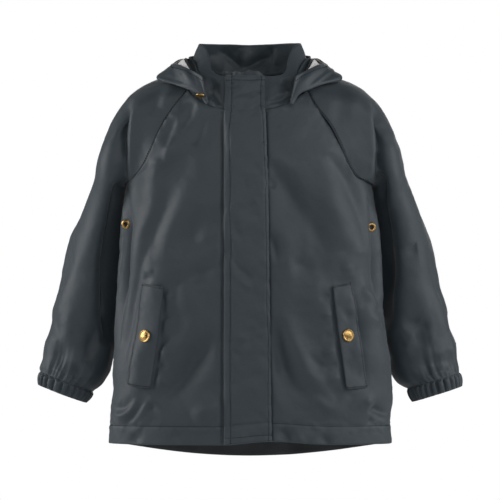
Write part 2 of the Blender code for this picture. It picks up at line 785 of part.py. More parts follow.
def punched(panel, place, normal):
    """Cuts the hole for an eyelet through a panel."""
    bpy.ops.mesh.primitive_cylinder_add(vertices=16, radius=EYELET_HOLE * MM, depth=16 * MM,
                                        location=place * MM,
                                        rotation=normal.to_track_quat("Z", "Y").to_euler())
    cutter = bpy.context.object
    cutter.name = panel.name + "_hole_cutter"
    cutter.hide_render = True
    cutter.display_type = "WIRE"
    cut = panel.modifiers.new("eyelet hole", "BOOLEAN")
    cut.operation = "DIFFERENCE"
    cut.solver = "EXACT"
    cut.object = cutter


# ---- finishes --------------------------------------------------------------------------------------
Finish = namedtuple("Finish", "name color roughness metallic")
FINISHES = {
    "cloth": Finish("coated_cloth", (0.055, 0.071, 0.082), 0.45, 0.0),
    "lining": Finish("hood_lining_cloth", (0.76, 0.73, 0.72), 0.8, 0.0),
    "brass": Finish("aged_brass", (0.50, 0.30, 0.09), 0.35, 1.0),
}


def material_for(key):
    """The plain material of a finish, made once."""
    look = FINISHES[key]
    material = bpy.data.materials.get(look.name) or bpy.data.materials.new(look.name)
    material.use_nodes = True
    shader = material.node_tree.nodes["Principled BSDF"]
    shader.inputs["Base Color"].default_value = (*look.color, 1.0)
    shader.inputs["Roughness"].default_value = look.roughness
    shader.inputs["Metallic"].default_value = look.metallic
    return material


def body_walls():
    """Thickness of the wall at each row of a body panel."""
    return [HEM_CLOTH, HEM_CLOTH] + [CLOTH] * (BODY_ROWS + YOKE_ROWS - 1)


def build_body():
    """The fronts, back, sleeves, cuffs and collar, which share their seams' points."""
    fronts = {side: front_panel(side) for side in ("right", "left")}
    backs = {side: back_half(side) for side in ("right", "left")}
    loops = {side: armhole(side, fronts[side], backs[side]) for side in fronts}
    neck = {side: loops[side][YOKE_ROWS:YOKE_ROWS + NECK_POINTS + 2] for side in fronts}
    sleeves = {side: facing_out(side, sleeve(side, loops[side], fronts[side], backs[side]))
               for side in fronts}
    back = [left[:0:-1] + right for left, right in zip(backs["left"], backs["right"])]
    base = (fronts["left"][-1] + neck["left"][1:-1] + back[-1] + neck["right"][-2:0:-1]
            + fronts["right"][-1][::-1])
    collar = collar_grid(spaced(base))
    grids = {
        "front_left": fronts["left"],
        "front_right": [row[::-1] for row in fronts["right"]],
        "back": back,
        "sleeve_left": sleeves["left"],
        "sleeve_right": sleeves["right"],
        "collar": collar,
    }
    rings = ("sleeve_left", "sleeve_right")
    smooth = shared_normals([(grid, name in rings) for name, grid in grids.items()])
    grids = {name: creased(grid, smooth) for name, grid in grids.items()}
    ways = seam_directions(grids, rings)
    plain = [CLOTH] * (SHOULDER_ROWS + ARM_ROWS + 1)
    made = {}
    for side, seam in (("left", "end"), ("right", "start")):
        name = "front_" + side
        made[name] = cloth(name, grids[name], ways[name], body_walls(), (seam, "top"))
    made["back"] = cloth("back", grids["back"], ways["back"], body_walls(),
                         ("start", "end", "top"))
    for side in ("left", "right"):
        name = "sleeve_" + side
        made[name] = cloth(name, grids[name], ways[name], plain, ("bottom", "top"), ring=True)
    made["collar"] = cloth("collar", grids["collar"], ways["collar"], [CLOTH] * (COLLAR_ROWS + 1),
                           ("bottom",))
    return grids, ways["collar"], made


def build_cuffs():
    """The elastic cuffs, below the sleeves' ends."""
    for side in ("right", "left"):
        grid = facing_out(side, cuff_grid(side))
        ways = shared_normals([(grid, True)])
        cloth("cuff_" + side, grid, ways, [CUFF_CLOTH] * (CUFF_ROWS + 1), ring=True)


def build_hood():
    """The hood's shell, its lining inside the folded shell, and the band beside the collar."""
    shell = hood_grid()
    ways = shared_normals([(shell, False)])
    cloth("hood_shell", shell, ways, [CLOTH] * (HOOD_ROWS + 1))
    under = [[p - ways[key_of(p)] * (CLOTH + LINING_GAP) for p in row[LINING_START:-LINING_START]]
             for row in shell[:4]]
    lining = [[a.lerp(b, share % 1.0) for a, b in zip(under[int(share)], under[int(share) + 1])]
              for share in LINING_ROWS]
    cloth("hood_lining", lining, shared_normals([(lining, False)]), [LINING] * len(lining),
          material="lining")
    build_hood_snap(shell, ways)


def build_band(collar, ways):
    """The hood's neck band, a strip round the outside of the collar."""
    turns = [math.degrees(math.atan2(abs(p.x), NECK_AXIS_Y - p.y)) for p in collar[0]]
    chosen = [c for c, turn in enumerate(turns) if turn > BAND_TURN]
    rows, directions = [], {}
    for low, share, flare in BAND_ROWS:
        row = []
        for c in chosen:
            around = min(1.0, (turns[c] - BAND_TURN) / BAND_FLARE_SPAN)
            off = LIFT + BAND_CLOTH + BAND_FLARE * flare * math.sin(math.pi * around) ** 2
            way = ways[key_of(collar[low][c])].lerp(ways[key_of(collar[low + 1][c])], share)
            way.normalize()
            p = collar[low][c].lerp(collar[low + 1][c], share) + way * off
            directions[key_of(p)] = way
            row.append(p)
        rows.append(row)
    cloth("hood_band", rows, directions, [BAND_CLOTH] * len(rows))


def build_hood_snap(shell, ways):
    """The brass snap on the hood's right front corner."""
    column, row = HOOD_SNAP_COLUMN, HOOD_SNAP_ROW
    low, first = int(row), -1 - int(column)
    place = shell[low][first].lerp(shell[low][first - 1], column % 1.0)
    upper = shell[low + 1][first].lerp(shell[low + 1][first - 1], column % 1.0)
    place = place.lerp(upper, row % 1.0)
    normal = ways[key_of(shell[low][first])] + ways[key_of(shell[low + 1][first - 1])]
    normal.normalize()
    snap("snap_hood", place + normal * (LIFT + SEAM_GAP), normal, HOOD_SNAP_RADIUS)


def build_guard():
    """The crumpled guard of the zip's top, behind the flap and over the collar's edge."""
    rows = []
    for share in (0.0, 0.55, 1.0):
        row = []
        for c in range(GUARD_COLUMNS + 1):
            along_x = c / GUARD_COLUMNS
            x = GUARD_RIGHT + (GUARD_LEFT - GUARD_RIGHT) * along_x
            top = COLLAR_TOP[0].height + 2.0 + 7.0 * math.sin(math.pi * along_x) ** 0.8
            top += 1.2 * math.sin(9.0 * along_x + 1.0)
            edge_y = NECK_AXIS_Y - math.sqrt(COLLAR_TOP[1].reach ** 2 - x * x)
            wave = GUARD_CRUMPLE * math.sin(17.0 * along_x + 2.5 * math.sin(5.0 * along_x))
            y = edge_y + CLOTH + LIFT + GUARD_CLOTH + (1.0 + wave / GUARD_CRUMPLE) * share * 1.6
            row.append(Vector((x, y, GUARD_FOOT + (top - GUARD_FOOT) * share)))
        rows.append(row)
    ways = shared_normals([(rows, False)])
    cloth("zip_guard", rows, ways, [GUARD_CLOTH] * len(rows))


def build_flap(grids):
    """The storm flap, over the zip edges of the fronts and of the collar."""
    panels = [(row[::-1], left) for row, left in zip(grids["front_right"], grids["front_left"])]
    panels += [(row[::-1], row) for row in grids["collar"][1:]]
    grid, ways = raised(flap_grid(panels), LIFT + FLAP_CLOTH)
    cloth("storm_flap", grid, ways, [FLAP_CLOTH] * len(grid))


def build_zip_tape(grids):
    """The plain tape behind the gap between the fronts."""
    rows = list(zip(grids["front_right"], grids["front_left"]))
    half = ZIP_TAPE_WIDTH / 2
    inner = [[point_between(right[::-1], -half), point_between(left, half)]
             for right, left in rows]
    grid, ways = raised(inner, -(HEM_CLOTH + LIFT))
    cloth("zip_tape", grid, ways, [ZIP_TAPE] * len(grid))


def build_pockets(tree):
    """The pocket flaps with their snaps."""
    for side, corners in POCKETS.items():
        grid, ways = raised(pocket_grid(tree, corners), POCKET_LIFT + POCKET_CLOTH)
        cloth("pocket_flap_" + side, grid, ways, [POCKET_CLOTH] * len(grid))
        flap_tree = surface_of([grid])
        place, normal = on_front(flap_tree, POCKET_SNAPS[side].x, POCKET_SNAPS[side].z)
        snap("snap_" + side, place + normal * LIFT, normal, SNAP_RADIUS)


def build_eyelets(tree, made):
    """The vent eyelets, each with its hole through the front."""
    for side, spot in EYELETS.items():
        place, normal = on_front(tree, spot.x, spot.z)
        punched(made["front_" + side], place, normal)
        eyelet("eyelet_" + side, place, normal)


def main():
    """Builds every piece."""
    for obj in list(bpy.data.objects):
        bpy.data.objects.remove(obj, do_unlink=True)
    grids, ways, made = build_body()
    build_cuffs()
    build_hood()
    build_band(grids["collar"], ways)
    build_flap(grids)
    build_guard()
    build_zip_tape(grids)
    tree = surface_of([grids["front_right"], grids["front_left"]])
    build_pockets(tree)
    build_eyelets(tree, made)


main()
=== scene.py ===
"""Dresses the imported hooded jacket: sewn and creased cloth on the forms of the frame.

Every length below is in millimetres and becomes metres when a mesh is made. X runs to the
wearer's left, -Y is the front and +Z is up. "Right" and "left" are the wearer's.
"""

import logging
import math
from dataclasses import dataclass, field
from enum import Enum
from typing import Any

import bpy
import numpy as np
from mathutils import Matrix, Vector
from mathutils.bvhtree import BVHTree


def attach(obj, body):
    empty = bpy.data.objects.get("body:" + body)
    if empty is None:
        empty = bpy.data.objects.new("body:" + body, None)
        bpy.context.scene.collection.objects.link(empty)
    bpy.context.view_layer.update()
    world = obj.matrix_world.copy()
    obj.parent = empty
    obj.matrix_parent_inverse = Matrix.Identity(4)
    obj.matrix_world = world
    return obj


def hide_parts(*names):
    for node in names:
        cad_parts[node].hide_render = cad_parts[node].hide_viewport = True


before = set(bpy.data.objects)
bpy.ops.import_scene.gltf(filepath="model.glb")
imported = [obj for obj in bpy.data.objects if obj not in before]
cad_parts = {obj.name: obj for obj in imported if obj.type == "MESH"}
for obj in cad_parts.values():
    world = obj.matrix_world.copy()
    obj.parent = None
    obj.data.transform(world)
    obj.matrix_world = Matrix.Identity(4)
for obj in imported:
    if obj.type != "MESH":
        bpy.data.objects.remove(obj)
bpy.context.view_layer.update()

LOG = logging.getLogger("jacket")
MM = 0.001
FULL_TURN = 2.0 * math.pi
FAR_AHEAD = -400.0
Array = np.ndarray


# ---- named options
class Side(Enum):
    """The wearer's right or left side."""

    RIGHT = -1.0
    LEFT = 1.0

    @property
    def word(self) -> str:
        """The side's name in lower case."""
        return self.name.lower()

    def pick(self, right: Any, left: Any) -> Any:
        """This side's one of two values."""
        return right if self is Side.RIGHT else left


class Face(Enum):
    """Which way the cloth faces where a fold runs, and the two axes that its line is drawn in."""

    FRONT = ((0.0, -1.0, 0.0), (0, 2))
    BACK = ((0.0, 1.0, 0.0), (0, 2))
    RIGHT = ((-1.0, 0.0, 0.0), (1, 2))
    LEFT = ((1.0, 0.0, 0.0), (1, 2))
    TOP = ((0.0, -0.5, 0.87), (0, 2))


class Border(Enum):
    """A border of a piece's grid of points."""

    BOTTOM = "bottom"
    TOP = "top"
    START = "start"
    END = "end"


# ---- curves and fields
class Curve:
    """A smooth curve through values at rising keys, held at its ends."""

    def __init__(self, values: list, keys: list | None = None) -> None:
        """Keeps the values and their keys and works out a slope at each key.

        Args:
            values: A number or a row of numbers for each key.
            keys: Where they stand, in rising order. Without keys they are one apart from 0.
        """
        self.values = np.asarray(values, float)
        self.keys = np.asarray(range(len(values)) if keys is None else keys, float)
        i = np.arange(len(self.keys))
        low, high = np.maximum(i - 1, 0), np.minimum(i + 1, len(i) - 1)
        step = self.keys[high] - self.keys[low]
        rise = self.values[high] - self.values[low]
        self.slopes = rise / (step[:, None] if rise.ndim > 1 else step)

    @classmethod
    def of_table(cls, table: tuple) -> "Curve":
        """A curve through rows that begin with their key."""
        return cls([row[1:] for row in table], [row[0] for row in table])

    def __call__(self, at: Array) -> Array:
        """Values at some places.

        Args:
            at: Places, in the keys' own unit.

        Returns:
            One value, or one row of values, for each place.
        """
        at = np.asarray(at, float)
        i = np.clip(np.searchsorted(self.keys, at, side="right") - 1, 0, len(self.keys) - 2)
        span = self.keys[i + 1] - self.keys[i]
        t = np.clip((at - self.keys[i]) / span, 0.0, 1.0)
        if self.values.ndim > 1:
            t, span = t[..., None], span[..., None]
        t2, t3 = t * t, t * t * t
        return ((2 * t3 - 3 * t2 + 1) * self.values[i] + (t3 - 2 * t2 + t) * span * self.slopes[i]
                + (3 * t2 - 2 * t3) * self.values[i + 1] + (t3 - t2) * span * self.slopes[i + 1])


def unit(vectors: Array) -> Array:
    """Vectors scaled to length one."""
    return vectors / np.maximum(np.linalg.norm(vectors, axis=-1, keepdims=True), 1e-9)


def lerp(a: Array, b: Array, t: float) -> Array:
    """Point or value at a share of the way from a to b."""
    return a + (b - a) * t


def bezier(a: Array, b: Array, c: Array, d: Array, t: float) -> Array:
    """Point on a cubic curve from a to d, with b and c as its handles."""
    s = 1.0 - t
    return a * s ** 3 + b * (3 * s * s * t) + c * (3 * s * t * t) + d * t ** 3


def shares_of(count: int) -> list[float]:
    """The shares 0 to 1 at the ends of a count of equal steps."""
    return [k / count for k in range(count + 1)]


def bell(x: Array, width: float) -> Array:
    """A bump of height one that fades over a width to both sides of zero."""
    return np.exp(-(x / width) ** 2)


def ramp(x: Array, start: float, span: float) -> Array:
    """An even rise from zero to one over a span."""
    return np.clip((x - start) / span, 0.0, 1.0)


def step_down(x: Array, top: float = 1.0) -> Array:
    """A soft step round zero, from a top down to nothing."""
    return top / (1.0 + np.exp(np.clip(x, -30.0, 30.0)))


def grid_normals(grid: Array, ring: bool = False) -> Array:
    """Outward unit normals of a grid of points.

    Args:
        grid: Rows by columns by three.
        ring: Whether the rows close into rings.

    Returns:
        Normals in the grid's shape.
    """
    if ring:
        across = np.roll(grid, -1, axis=1) - np.roll(grid, 1, axis=1)
    else:
        across = np.gradient(grid, axis=1)
    return unit(np.cross(across, np.gradient(grid, axis=0)))


def grid_quads(rows: int, columns: int, ring: bool = False) -> Array:
    """Faces of a grid of points.

    Args:
        rows: How many rows.
        columns: How many columns.
        ring: Whether the rows close into rings.

    Returns:
        Four corner numbers for each face.
    """
    numbers = np.arange(rows * columns).reshape(rows, columns)
    after, span = np.roll(numbers, -1, axis=1), columns if ring else columns - 1
    return np.stack([numbers[:-1, :span], after[:-1, :span], after[1:, :span],
                     numbers[1:, :span]], axis=-1).reshape(-1, 4)


def travelled(grid: Array, axis: int, backwards: bool = False) -> Array:
    """Length along the cloth from a border to each point, up the columns or along the rows.

    Args:
        grid: Rows by columns by three.
        axis: 0 to measure up the columns, 1 to measure along the rows.
        backwards: Whether to start at the far border.

    Returns:
        Lengths in the grid's rows and columns.
    """
    steps = np.linalg.norm(np.diff(grid, axis=axis), axis=-1)
    pad = np.zeros_like(np.take(steps, [0], axis=axis))
    run = np.concatenate([pad, np.cumsum(steps, axis=axis)], axis=axis)
    return np.take(run, [-1], axis=axis) - run if backwards else run


def run_along(line: Array) -> Array:
    """Length along a line to each of its points."""
    return travelled(line[:, None], 0)[:, 0]


def waves(points: Array, length: float, seed: int) -> Array:
    """An even, random-looking field between about -1 and 1.

    Args:
        points: Where to read it.
        length: Distance from crest to crest.
        seed: Picks the field.

    Returns:
        One value for each point.
    """
    count, shortest, longest, peak = 14, 0.65, 1.6, 1.6
    rng = np.random.default_rng(seed)
    ways = unit(rng.normal(size=(count, 3)))
    lengths = length * rng.uniform(shortest, longest, count)
    phases = rng.uniform(0.0, FULL_TURN, count)
    total = np.zeros(points.shape[:-1])
    for way, size, phase in zip(ways, lengths, phases):
        total += np.sin(points @ way * (FULL_TURN / size) + phase)
    return total / math.sqrt(count / 2.0) / peak


# ---- the forms that the pieces are cut to
@dataclass
class TorsoForm:
    """The hollow body: rings of half widths and of the places of its front and back lines."""

    power: float = 2.4
    underarm: float = -121.0
    hem: float = -454.5
    hem_rise: float = 4.5
    # the hem climbs from the first x over the first span and falls from the second over its own
    hem_climb: tuple = (-35.0, 60.0)
    hem_fall: tuple = (28.0, 45.0)
    tail: float = 22.0
    # heights of the neck seam at the centre line and at the raglan seams
    neck_front: tuple = (-26.0, 2.0)
    neck_back: tuple = (24.0, 27.0)
    neck_rise: float = 2.2
    body_rows: int = 158
    yoke_rows: int = 60
    columns: int = 104
    # share of a front's columns and length along the cloth from the centre line
    front_steps: tuple = ((0.0, 5), (0.04, 18), (0.26, 40))
    # height, right half width, left half width, side line's y, front y, back y
    rings: tuple = (
        (-480, 178, 183, -20, -98, 94), (-435, 178, 184, -22, -99, 92),
        (-389, 177, 183, -24, -99, 90), (-313, 173, 178, -28, -99, 87),
        (-237, 171, 173, -30, -97, 85), (-186, 168, 169, -29, -95, 86),
        (-139, 161, 162, -24, -92, 88), (-121, 158, 159, -20, -91, 88),
        (-72, 152, 150, -12, -86, 86), (-24, 130, 124, -6, -73, 75), (2, 106, 100, -4, -62, 64),
        (30, 82, 80, -2, -52, 52),
    )
    # height, distance of the right and of the left raglan seam from the centre line
    front_raglan: tuple = (
        (-121, 158, 159), (-112, 149, 143), (-97, 137, 131), (-74, 125, 120), (-48, 114, 107),
        (-20, 96, 86), (2, 78, 74),
    )
    back_raglan: tuple = (
        (-121, 158, 159), (-108, 147, 147), (-85, 135, 134), (-45, 111, 110), (-8, 85, 84),
        (27, 62, 62),
    )

    def __post_init__(self) -> None:
        """Makes the curves that the tables stand for."""
        self.ring_curve = Curve.of_table(self.rings)
        self.seam_curves = {"front": Curve.of_table(self.front_raglan),
                            "back": Curve.of_table(self.back_raglan)}

    def points(self, side: Side, shares: Array, height: Array, name: str) -> Array:
        """Points of a panel at shares of the way from the centre line to its side edge.

        Args:
            side: The wearer's side.
            shares: Shares of the way.
            height: Heights.
            name: "front" or "back".

        Returns:
            The points.
        """
        ring = self.ring_curve(height)
        width, far = ring[..., side.pick(0, 1)], ring[..., 3 if name == "front" else 4]
        seam = self.seam_curves[name](height)[..., side.pick(0, 1)]
        x = shares * np.where(height <= self.underarm, width, seam)
        full = np.maximum(0.0, 1.0 - np.minimum(1.0, x / width) ** self.power)
        y = ring[..., 2] + (far - ring[..., 2]) * full ** (1.0 / self.power)
        return np.stack([side.value * x, y, height], axis=-1)

    def even_shares(self, side: Side, front: bool) -> Array:
        """Shares that stand evenly along the cloth at the chest.

        Args:
            side: The wearer's side.
            front: Whether they stand denser beside the flap.

        Returns:
            Shares of the way from the centre line to the side.
        """
        x = np.linspace(0.0, 1.0, 600) ** 0.5
        run = run_along(self.points(side, x, np.full_like(x, self.underarm), "front"))
        places = np.linspace(0.0, 1.0, self.columns + 1)
        steps = (*(self.front_steps if front else ((0.0, 0.0),)), (1.0, run[-1]))
        return np.interp(np.interp(places, *zip(*steps)), run, x)

    def panel(self, side: Side, name: str) -> Array:
        """Rows of points of a front or of half the back, from the hem up.

        Args:
            side: The wearer's side.
            name: "front" or "back".

        Returns:
            The grid, from the centre to the side along each row.
        """
        front = name == "front"
        shares = self.even_shares(side, front)
        if front:
            x = side.value * shares * self.rings[0][1]
            ahead = ramp(x, *self.hem_climb)
            behind = bell(np.maximum(0.0, x - self.hem_fall[0]), self.hem_fall[1])
            hem = self.hem + self.hem_rise * ahead * ahead * (3.0 - 2.0 * ahead) * behind
            top = lerp(*self.neck_front, shares ** self.neck_rise)
        else:
            hem = self.hem - self.tail * (1.0 - shares * shares)
            low, high = self.neck_back
            top = low + (high - low) * shares * shares
        rise = np.linspace(0.0, 1.0, self.body_rows + 1)[:, None]
        low = hem + (self.underarm - hem) * rise
        rise = np.linspace(0.0, 1.0, self.yoke_rows + 1)[1:, None]
        high = self.underarm + (top - self.underarm) * rise
        height = np.concatenate([low, high])
        return self.points(side, np.broadcast_to(shares, height.shape), height, name)


def section_frame(side: Side, row: Array) -> tuple:
    """One section of a sleeve or cuff.

    Args:
        side: The wearer's side.
        row: Outer x and z, inner x and z, the middle's y, depth.

    Returns:
        Its middle, its half width towards the body and its half depth.
    """
    outer = np.array([side.value * row[0], row[4], row[1]])
    inner = np.array([side.value * row[2], row[4], row[3]])
    middle = (outer + inner) / 2
    return middle, inner - middle, np.array([0.0, -row[5] / 2, 0.0])


def section_points(section: tuple, turns: Array) -> Array:
    """Points on a section: 0 is towards the body, a quarter turn is the front."""
    middle, across, ahead = section
    return middle + np.cos(turns)[:, None] * across + np.sin(turns)[:, None] * ahead


def facing_out(side: Side, grid: Array) -> Array:
    """A ring's grid with its points going round so that its faces look out."""
    return side.pick(grid, np.concatenate([grid[:, :1], grid[:, :0:-1]], axis=1))


@dataclass
class SleeveForm:
    """A sleeve: full sections from the underarm to the cuff, and the raglan top over them."""

    side: Side
    torso: TorsoForm
    neck_points: int = 23
    neck_handle: float = 0.9
    shoulder_rows: int = 42
    arm_rows: int = 126
    shoulder_handle: float = 0.47
    arm_handle: float = 0.42
    shoulder_lift: float = 0.10
    # columns and rows over which the raglan seams' tops are rounded off, and in how many steps
    soft_reach: float = 14.0
    soft_rise: float = 8.0
    soft_fall: float = 14.0
    soft_steps: int = 90
    crest: tuple = (84.0, 21.0)
    # outer x and z, inner x and z, the middle's y, depth
    right: tuple = (
        (202, -111, 157.5, -127, 13, 112), (214, -144, 158.5, -163, 27, 104),
        (227, -182, 162, -205, 35, 100), (240, -220, 163, -247, 35, 99),
        (252, -262, 165, -291, 36, 94), (263, -304, 171, -331, 35, 88),
        (271, -340, 180, -361, 32, 82), (274, -356, 191, -380, 30, 76),
        (273, -364, 204, -390, 28, 66),
    )
    left: tuple = (
        (206, -108, 158.5, -127, 13, 112), (219, -142, 159.5, -163, 26, 104),
        (230, -180, 164, -204, 32, 102), (243, -220, 167, -245, 35, 99),
        (254, -262, 170, -289, 37, 94), (266, -304, 174, -331, 36, 88),
        (274, -341, 184, -363, 34, 82), (276, -356, 193, -378, 32, 76),
        (275, -365, 207, -386, 29, 66),
    )

    def __post_init__(self) -> None:
        """Makes the curve of the sections."""
        table = self.side.pick(self.right, self.left)
        self.sections, self.last = Curve(table), len(table) - 1

    def section(self, at: float) -> tuple:
        """Middle of a section, its half width towards the body and its half depth."""
        return section_frame(self.side, self.sections(at))

    def armhole(self, front: Array, back: Array) -> Array:
        """The loop that the sleeve is sewn to.

        Args:
            front: The front's grid.
            back: Half the back's grid.

        Returns:
            Points from the underarm up the front and down the back.
        """
        rows = self.torso.body_rows
        up, down = front[rows:, -1], back[rows:, -1][::-1]
        crest = np.array([self.side.value * self.crest[0], (up[-1, 1] + down[0, 1]) / 2,
                          self.crest[1]])
        handles = [lerp(end, crest, self.neck_handle) for end in (up[-1], down[0])]
        neck = [bezier(up[-1], *handles, down[0], share)
                for share in shares_of(self.neck_points + 1)[1:-1]]
        return np.concatenate([up, neck, down[:-1]])

    def turns(self, loop: Array) -> tuple[Array, float]:
        """Angles round the arm.

        Args:
            loop: The armhole's points.

        Returns:
            The angle of each point, and that of the first.
        """
        middle, _, ahead = self.section(0)
        start = math.asin((middle[1] - loop[0, 1]) / abs(ahead[1]))
        crest = self.torso.yoke_rows + (self.neck_points + 1) // 2
        run = run_along(np.concatenate([loop, loop[:1]]))
        k = np.arange(len(loop))
        up = start + (math.pi - start) * run[k] / run[crest]
        down = math.pi + (math.pi + start) * (run[k] - run[crest]) / (run[-1] - run[crest])
        return np.where(k <= crest, up, down), start

    def leaving(self, front: Array, back: Array, count: int) -> Array:
        """Directions in which the cloth leaves the raglan seams and the neck.

        Args:
            front: The front's grid.
            back: Half the back's grid.
            count: How many points the armhole has.

        Returns:
            A direction for each point of the armhole.
        """
        shoulder = unit(np.array([self.side.value, 0.0, self.shoulder_lift]))
        yoke, inner = self.torso.yoke_rows, -max(2, self.torso.columns // 7)
        ways = np.tile(shoulder, (count, 1))
        for k in range(count):
            step = 2 * yoke + self.neck_points + 1 - k
            panel, step = (front, k) if k <= yoke else (back, step)
            if step <= yoke:
                row = panel[self.torso.body_rows + step]
                over = unit(row[-1] - row[inner])
                ways[k] = unit(lerp(over, shoulder, (step / yoke) ** 2))
        return ways

    def grid(self, front: Array, back: Array) -> Array:
        """Points of the sleeve, each row all round the arm.

        Args:
            front: The front's grid.
            back: Half the back's grid.

        Returns:
            Rows from the raglan seams to the cuff.
        """
        loop = self.armhole(front, back)
        turns, start = self.turns(loop)
        first = self.section(0)
        arm_way = unit(self.section(1)[0] - first[0])
        end = section_points(first, turns)
        reach = np.linalg.norm(end - loop, axis=1)[:, None]
        low = (np.maximum(0.0, np.cos(turns - start)) ** 2)[:, None]
        leave = self.leaving(front, back, len(loop))
        leave = unit(leave + (unit(end - loop) - leave) * low)
        handles = (loop + leave * reach * self.shoulder_handle,
                   end - arm_way * reach * self.arm_handle)
        top = [bezier(loop, *handles, end, share)
               for share in shares_of(self.shoulder_rows)[1:-1]]
        arm = [section_points(self.section(self.last * r / self.arm_rows), turns)
               for r in range(self.arm_rows + 1)]
        return self.softened(np.stack([loop, *top, *arm]))

    def softened(self, grid: Array) -> Array:
        """Rounds the lines that would run down the arm from the raglan seams' tops.

        Args:
            grid: Rows from the raglan seams to the cuff.

        Returns:
            The grid, with the same first row.
        """
        column, row = np.arange(grid.shape[1]), np.arange(len(grid))
        first = self.torso.yoke_rows
        near = np.minimum(1.0, sum(bell(column - at, self.soft_reach)
                                   for at in (first, first + self.neck_points + 1)))
        rise = ramp(row, 0.0, self.soft_rise) * ramp(
            self.shoulder_rows + self.soft_fall - row, 0.0, self.soft_fall)
        share = 0.5 * rise[:, None, None] * near[None, :, None]
        for _ in range(self.soft_steps):
            even = (np.roll(grid, 1, axis=1) + np.roll(grid, -1, axis=1)) / 2.0
            grid = grid + (even - grid) * share
        return grid


@dataclass
class CuffForm:
    """A gathered cuff below a sleeve's end."""

    side: Side
    sleeve: SleeveForm
    pleats: int = 23
    pleat_depth: float = 2.5
    bulge: float = 1.0
    rows: int = 22
    columns: int = 276
    gap: float = 0.5
    # how far the pleats lean as they fall, and how high and sharp their ridges are
    lean: float = 0.5
    ridge: float = 0.75
    valley: float = 1.7
    sharpness: float = 1.6
    # outer x and z, inner x and z, the middle's y, depth of the lower end
    right: tuple = (275, -381, 214, -404, 25, 56)
    left: tuple = (277, -383, 214, -403, 26, 56)

    def grid(self) -> Array:
        """Points of the cuff, with uneven pleats.

        Returns:
            Rows from the sleeve's end down.
        """
        start = self.sleeve.section(self.sleeve.last)
        end = section_frame(self.side, np.array(self.side.pick(self.right, self.left), float))
        gap = unit(end[0] - start[0]) * self.gap
        turns = np.linspace(0.0, FULL_TURN, self.columns, endpoint=False)
        seed = self.side.pick(1.1, 2.9)
        phase = turns * self.pleats + 1.2 * np.sin(2 * turns + seed) + 0.9 * np.sin(5 * turns)
        size = 1.0 + 0.35 * np.sin(3 * turns + seed) + 0.2 * np.sin(8 * turns)
        rows = []
        for fall in shares_of(self.rows):
            frames = [lerp(a, b, fall) for a, b in zip((start[0] + gap, *start[1:]), end)]
            swell = 1.0 + self.bulge / np.linalg.norm(end[1]) * math.sin(math.pi * fall)
            ring = section_points((frames[0], frames[1] * swell, frames[2] * swell), turns)
            lean = self.lean * fall * np.sin(4 * turns + seed)
            valley = (1.0 - np.abs(np.sin((phase + lean) / 2))) ** self.sharpness
            pleat = self.ridge - self.valley * valley
            full = 0.55 + 0.45 * math.sin(math.pi * min(1.0, 0.15 + fall * 0.7))
            full *= min(1.0, 0.1 + fall * 6.0)
            rows.append(ring + unit(ring - frames[0]) * (self.pleat_depth * size * pleat
                                                         * full)[:, None])
        return np.stack(rows)


@dataclass
class CollarForm:
    """The stand-up collar, from the neck seam to its uneven top edge."""

    axis_y: float = -5.0
    bulge: float = 2.5
    rows: int = 34
    step: float = 1.1
    full_turn: float = 60.0
    # turn from the front, reach from the neck's axis, height
    top: tuple = (
        (0, 56, 18), (20, 57, 18), (36, 63, 18.5), (48, 64, 25), (60, 59, 41), (75, 59, 56),
        (95, 67, 62.5), (122, 67, 64), (150, 62, 64), (180, 59, 63),
    )

    def turn(self, line: Array) -> Array:
        """Degrees round the neck's axis of each point of a line, from the front."""
        return np.degrees(np.arctan2(np.abs(line[:, 0]), self.axis_y - line[:, 1]))

    def grid(self, base: Array) -> Array:
        """Points of the collar, all round from the left front.

        Args:
            base: The neck seam's points.

        Returns:
            Rows from the neck seam up.
        """
        keep = [0]
        for k in range(1, len(base) - 1):
            if np.linalg.norm(base[k] - base[keep[-1]]) > self.step:
                keep.append(k)
        base = base[keep + [len(base) - 1]]
        turn = self.turn(base)
        reach, height = Curve.of_table(self.top)(turn).T
        angle, side = np.radians(turn), np.where(base[:, 0] > 0, 1.0, -1.0)
        top = np.stack([side * reach * np.sin(angle), self.axis_y - reach * np.cos(angle), height],
                       axis=-1)
        out = unit((top - [0.0, self.axis_y, 0.0]) * [1.0, 1.0, 0.0])
        full = ramp(turn, 0.0, self.full_turn)[:, None]
        grid = np.stack([lerp(base, top, rise) + out * full * self.bulge * math.sin(math.pi * rise)
                         for rise in shares_of(self.rows)])
        grid[:, 0, 0], grid[:, -1, 0] = base[0, 0], base[-1, 0]
        return grid


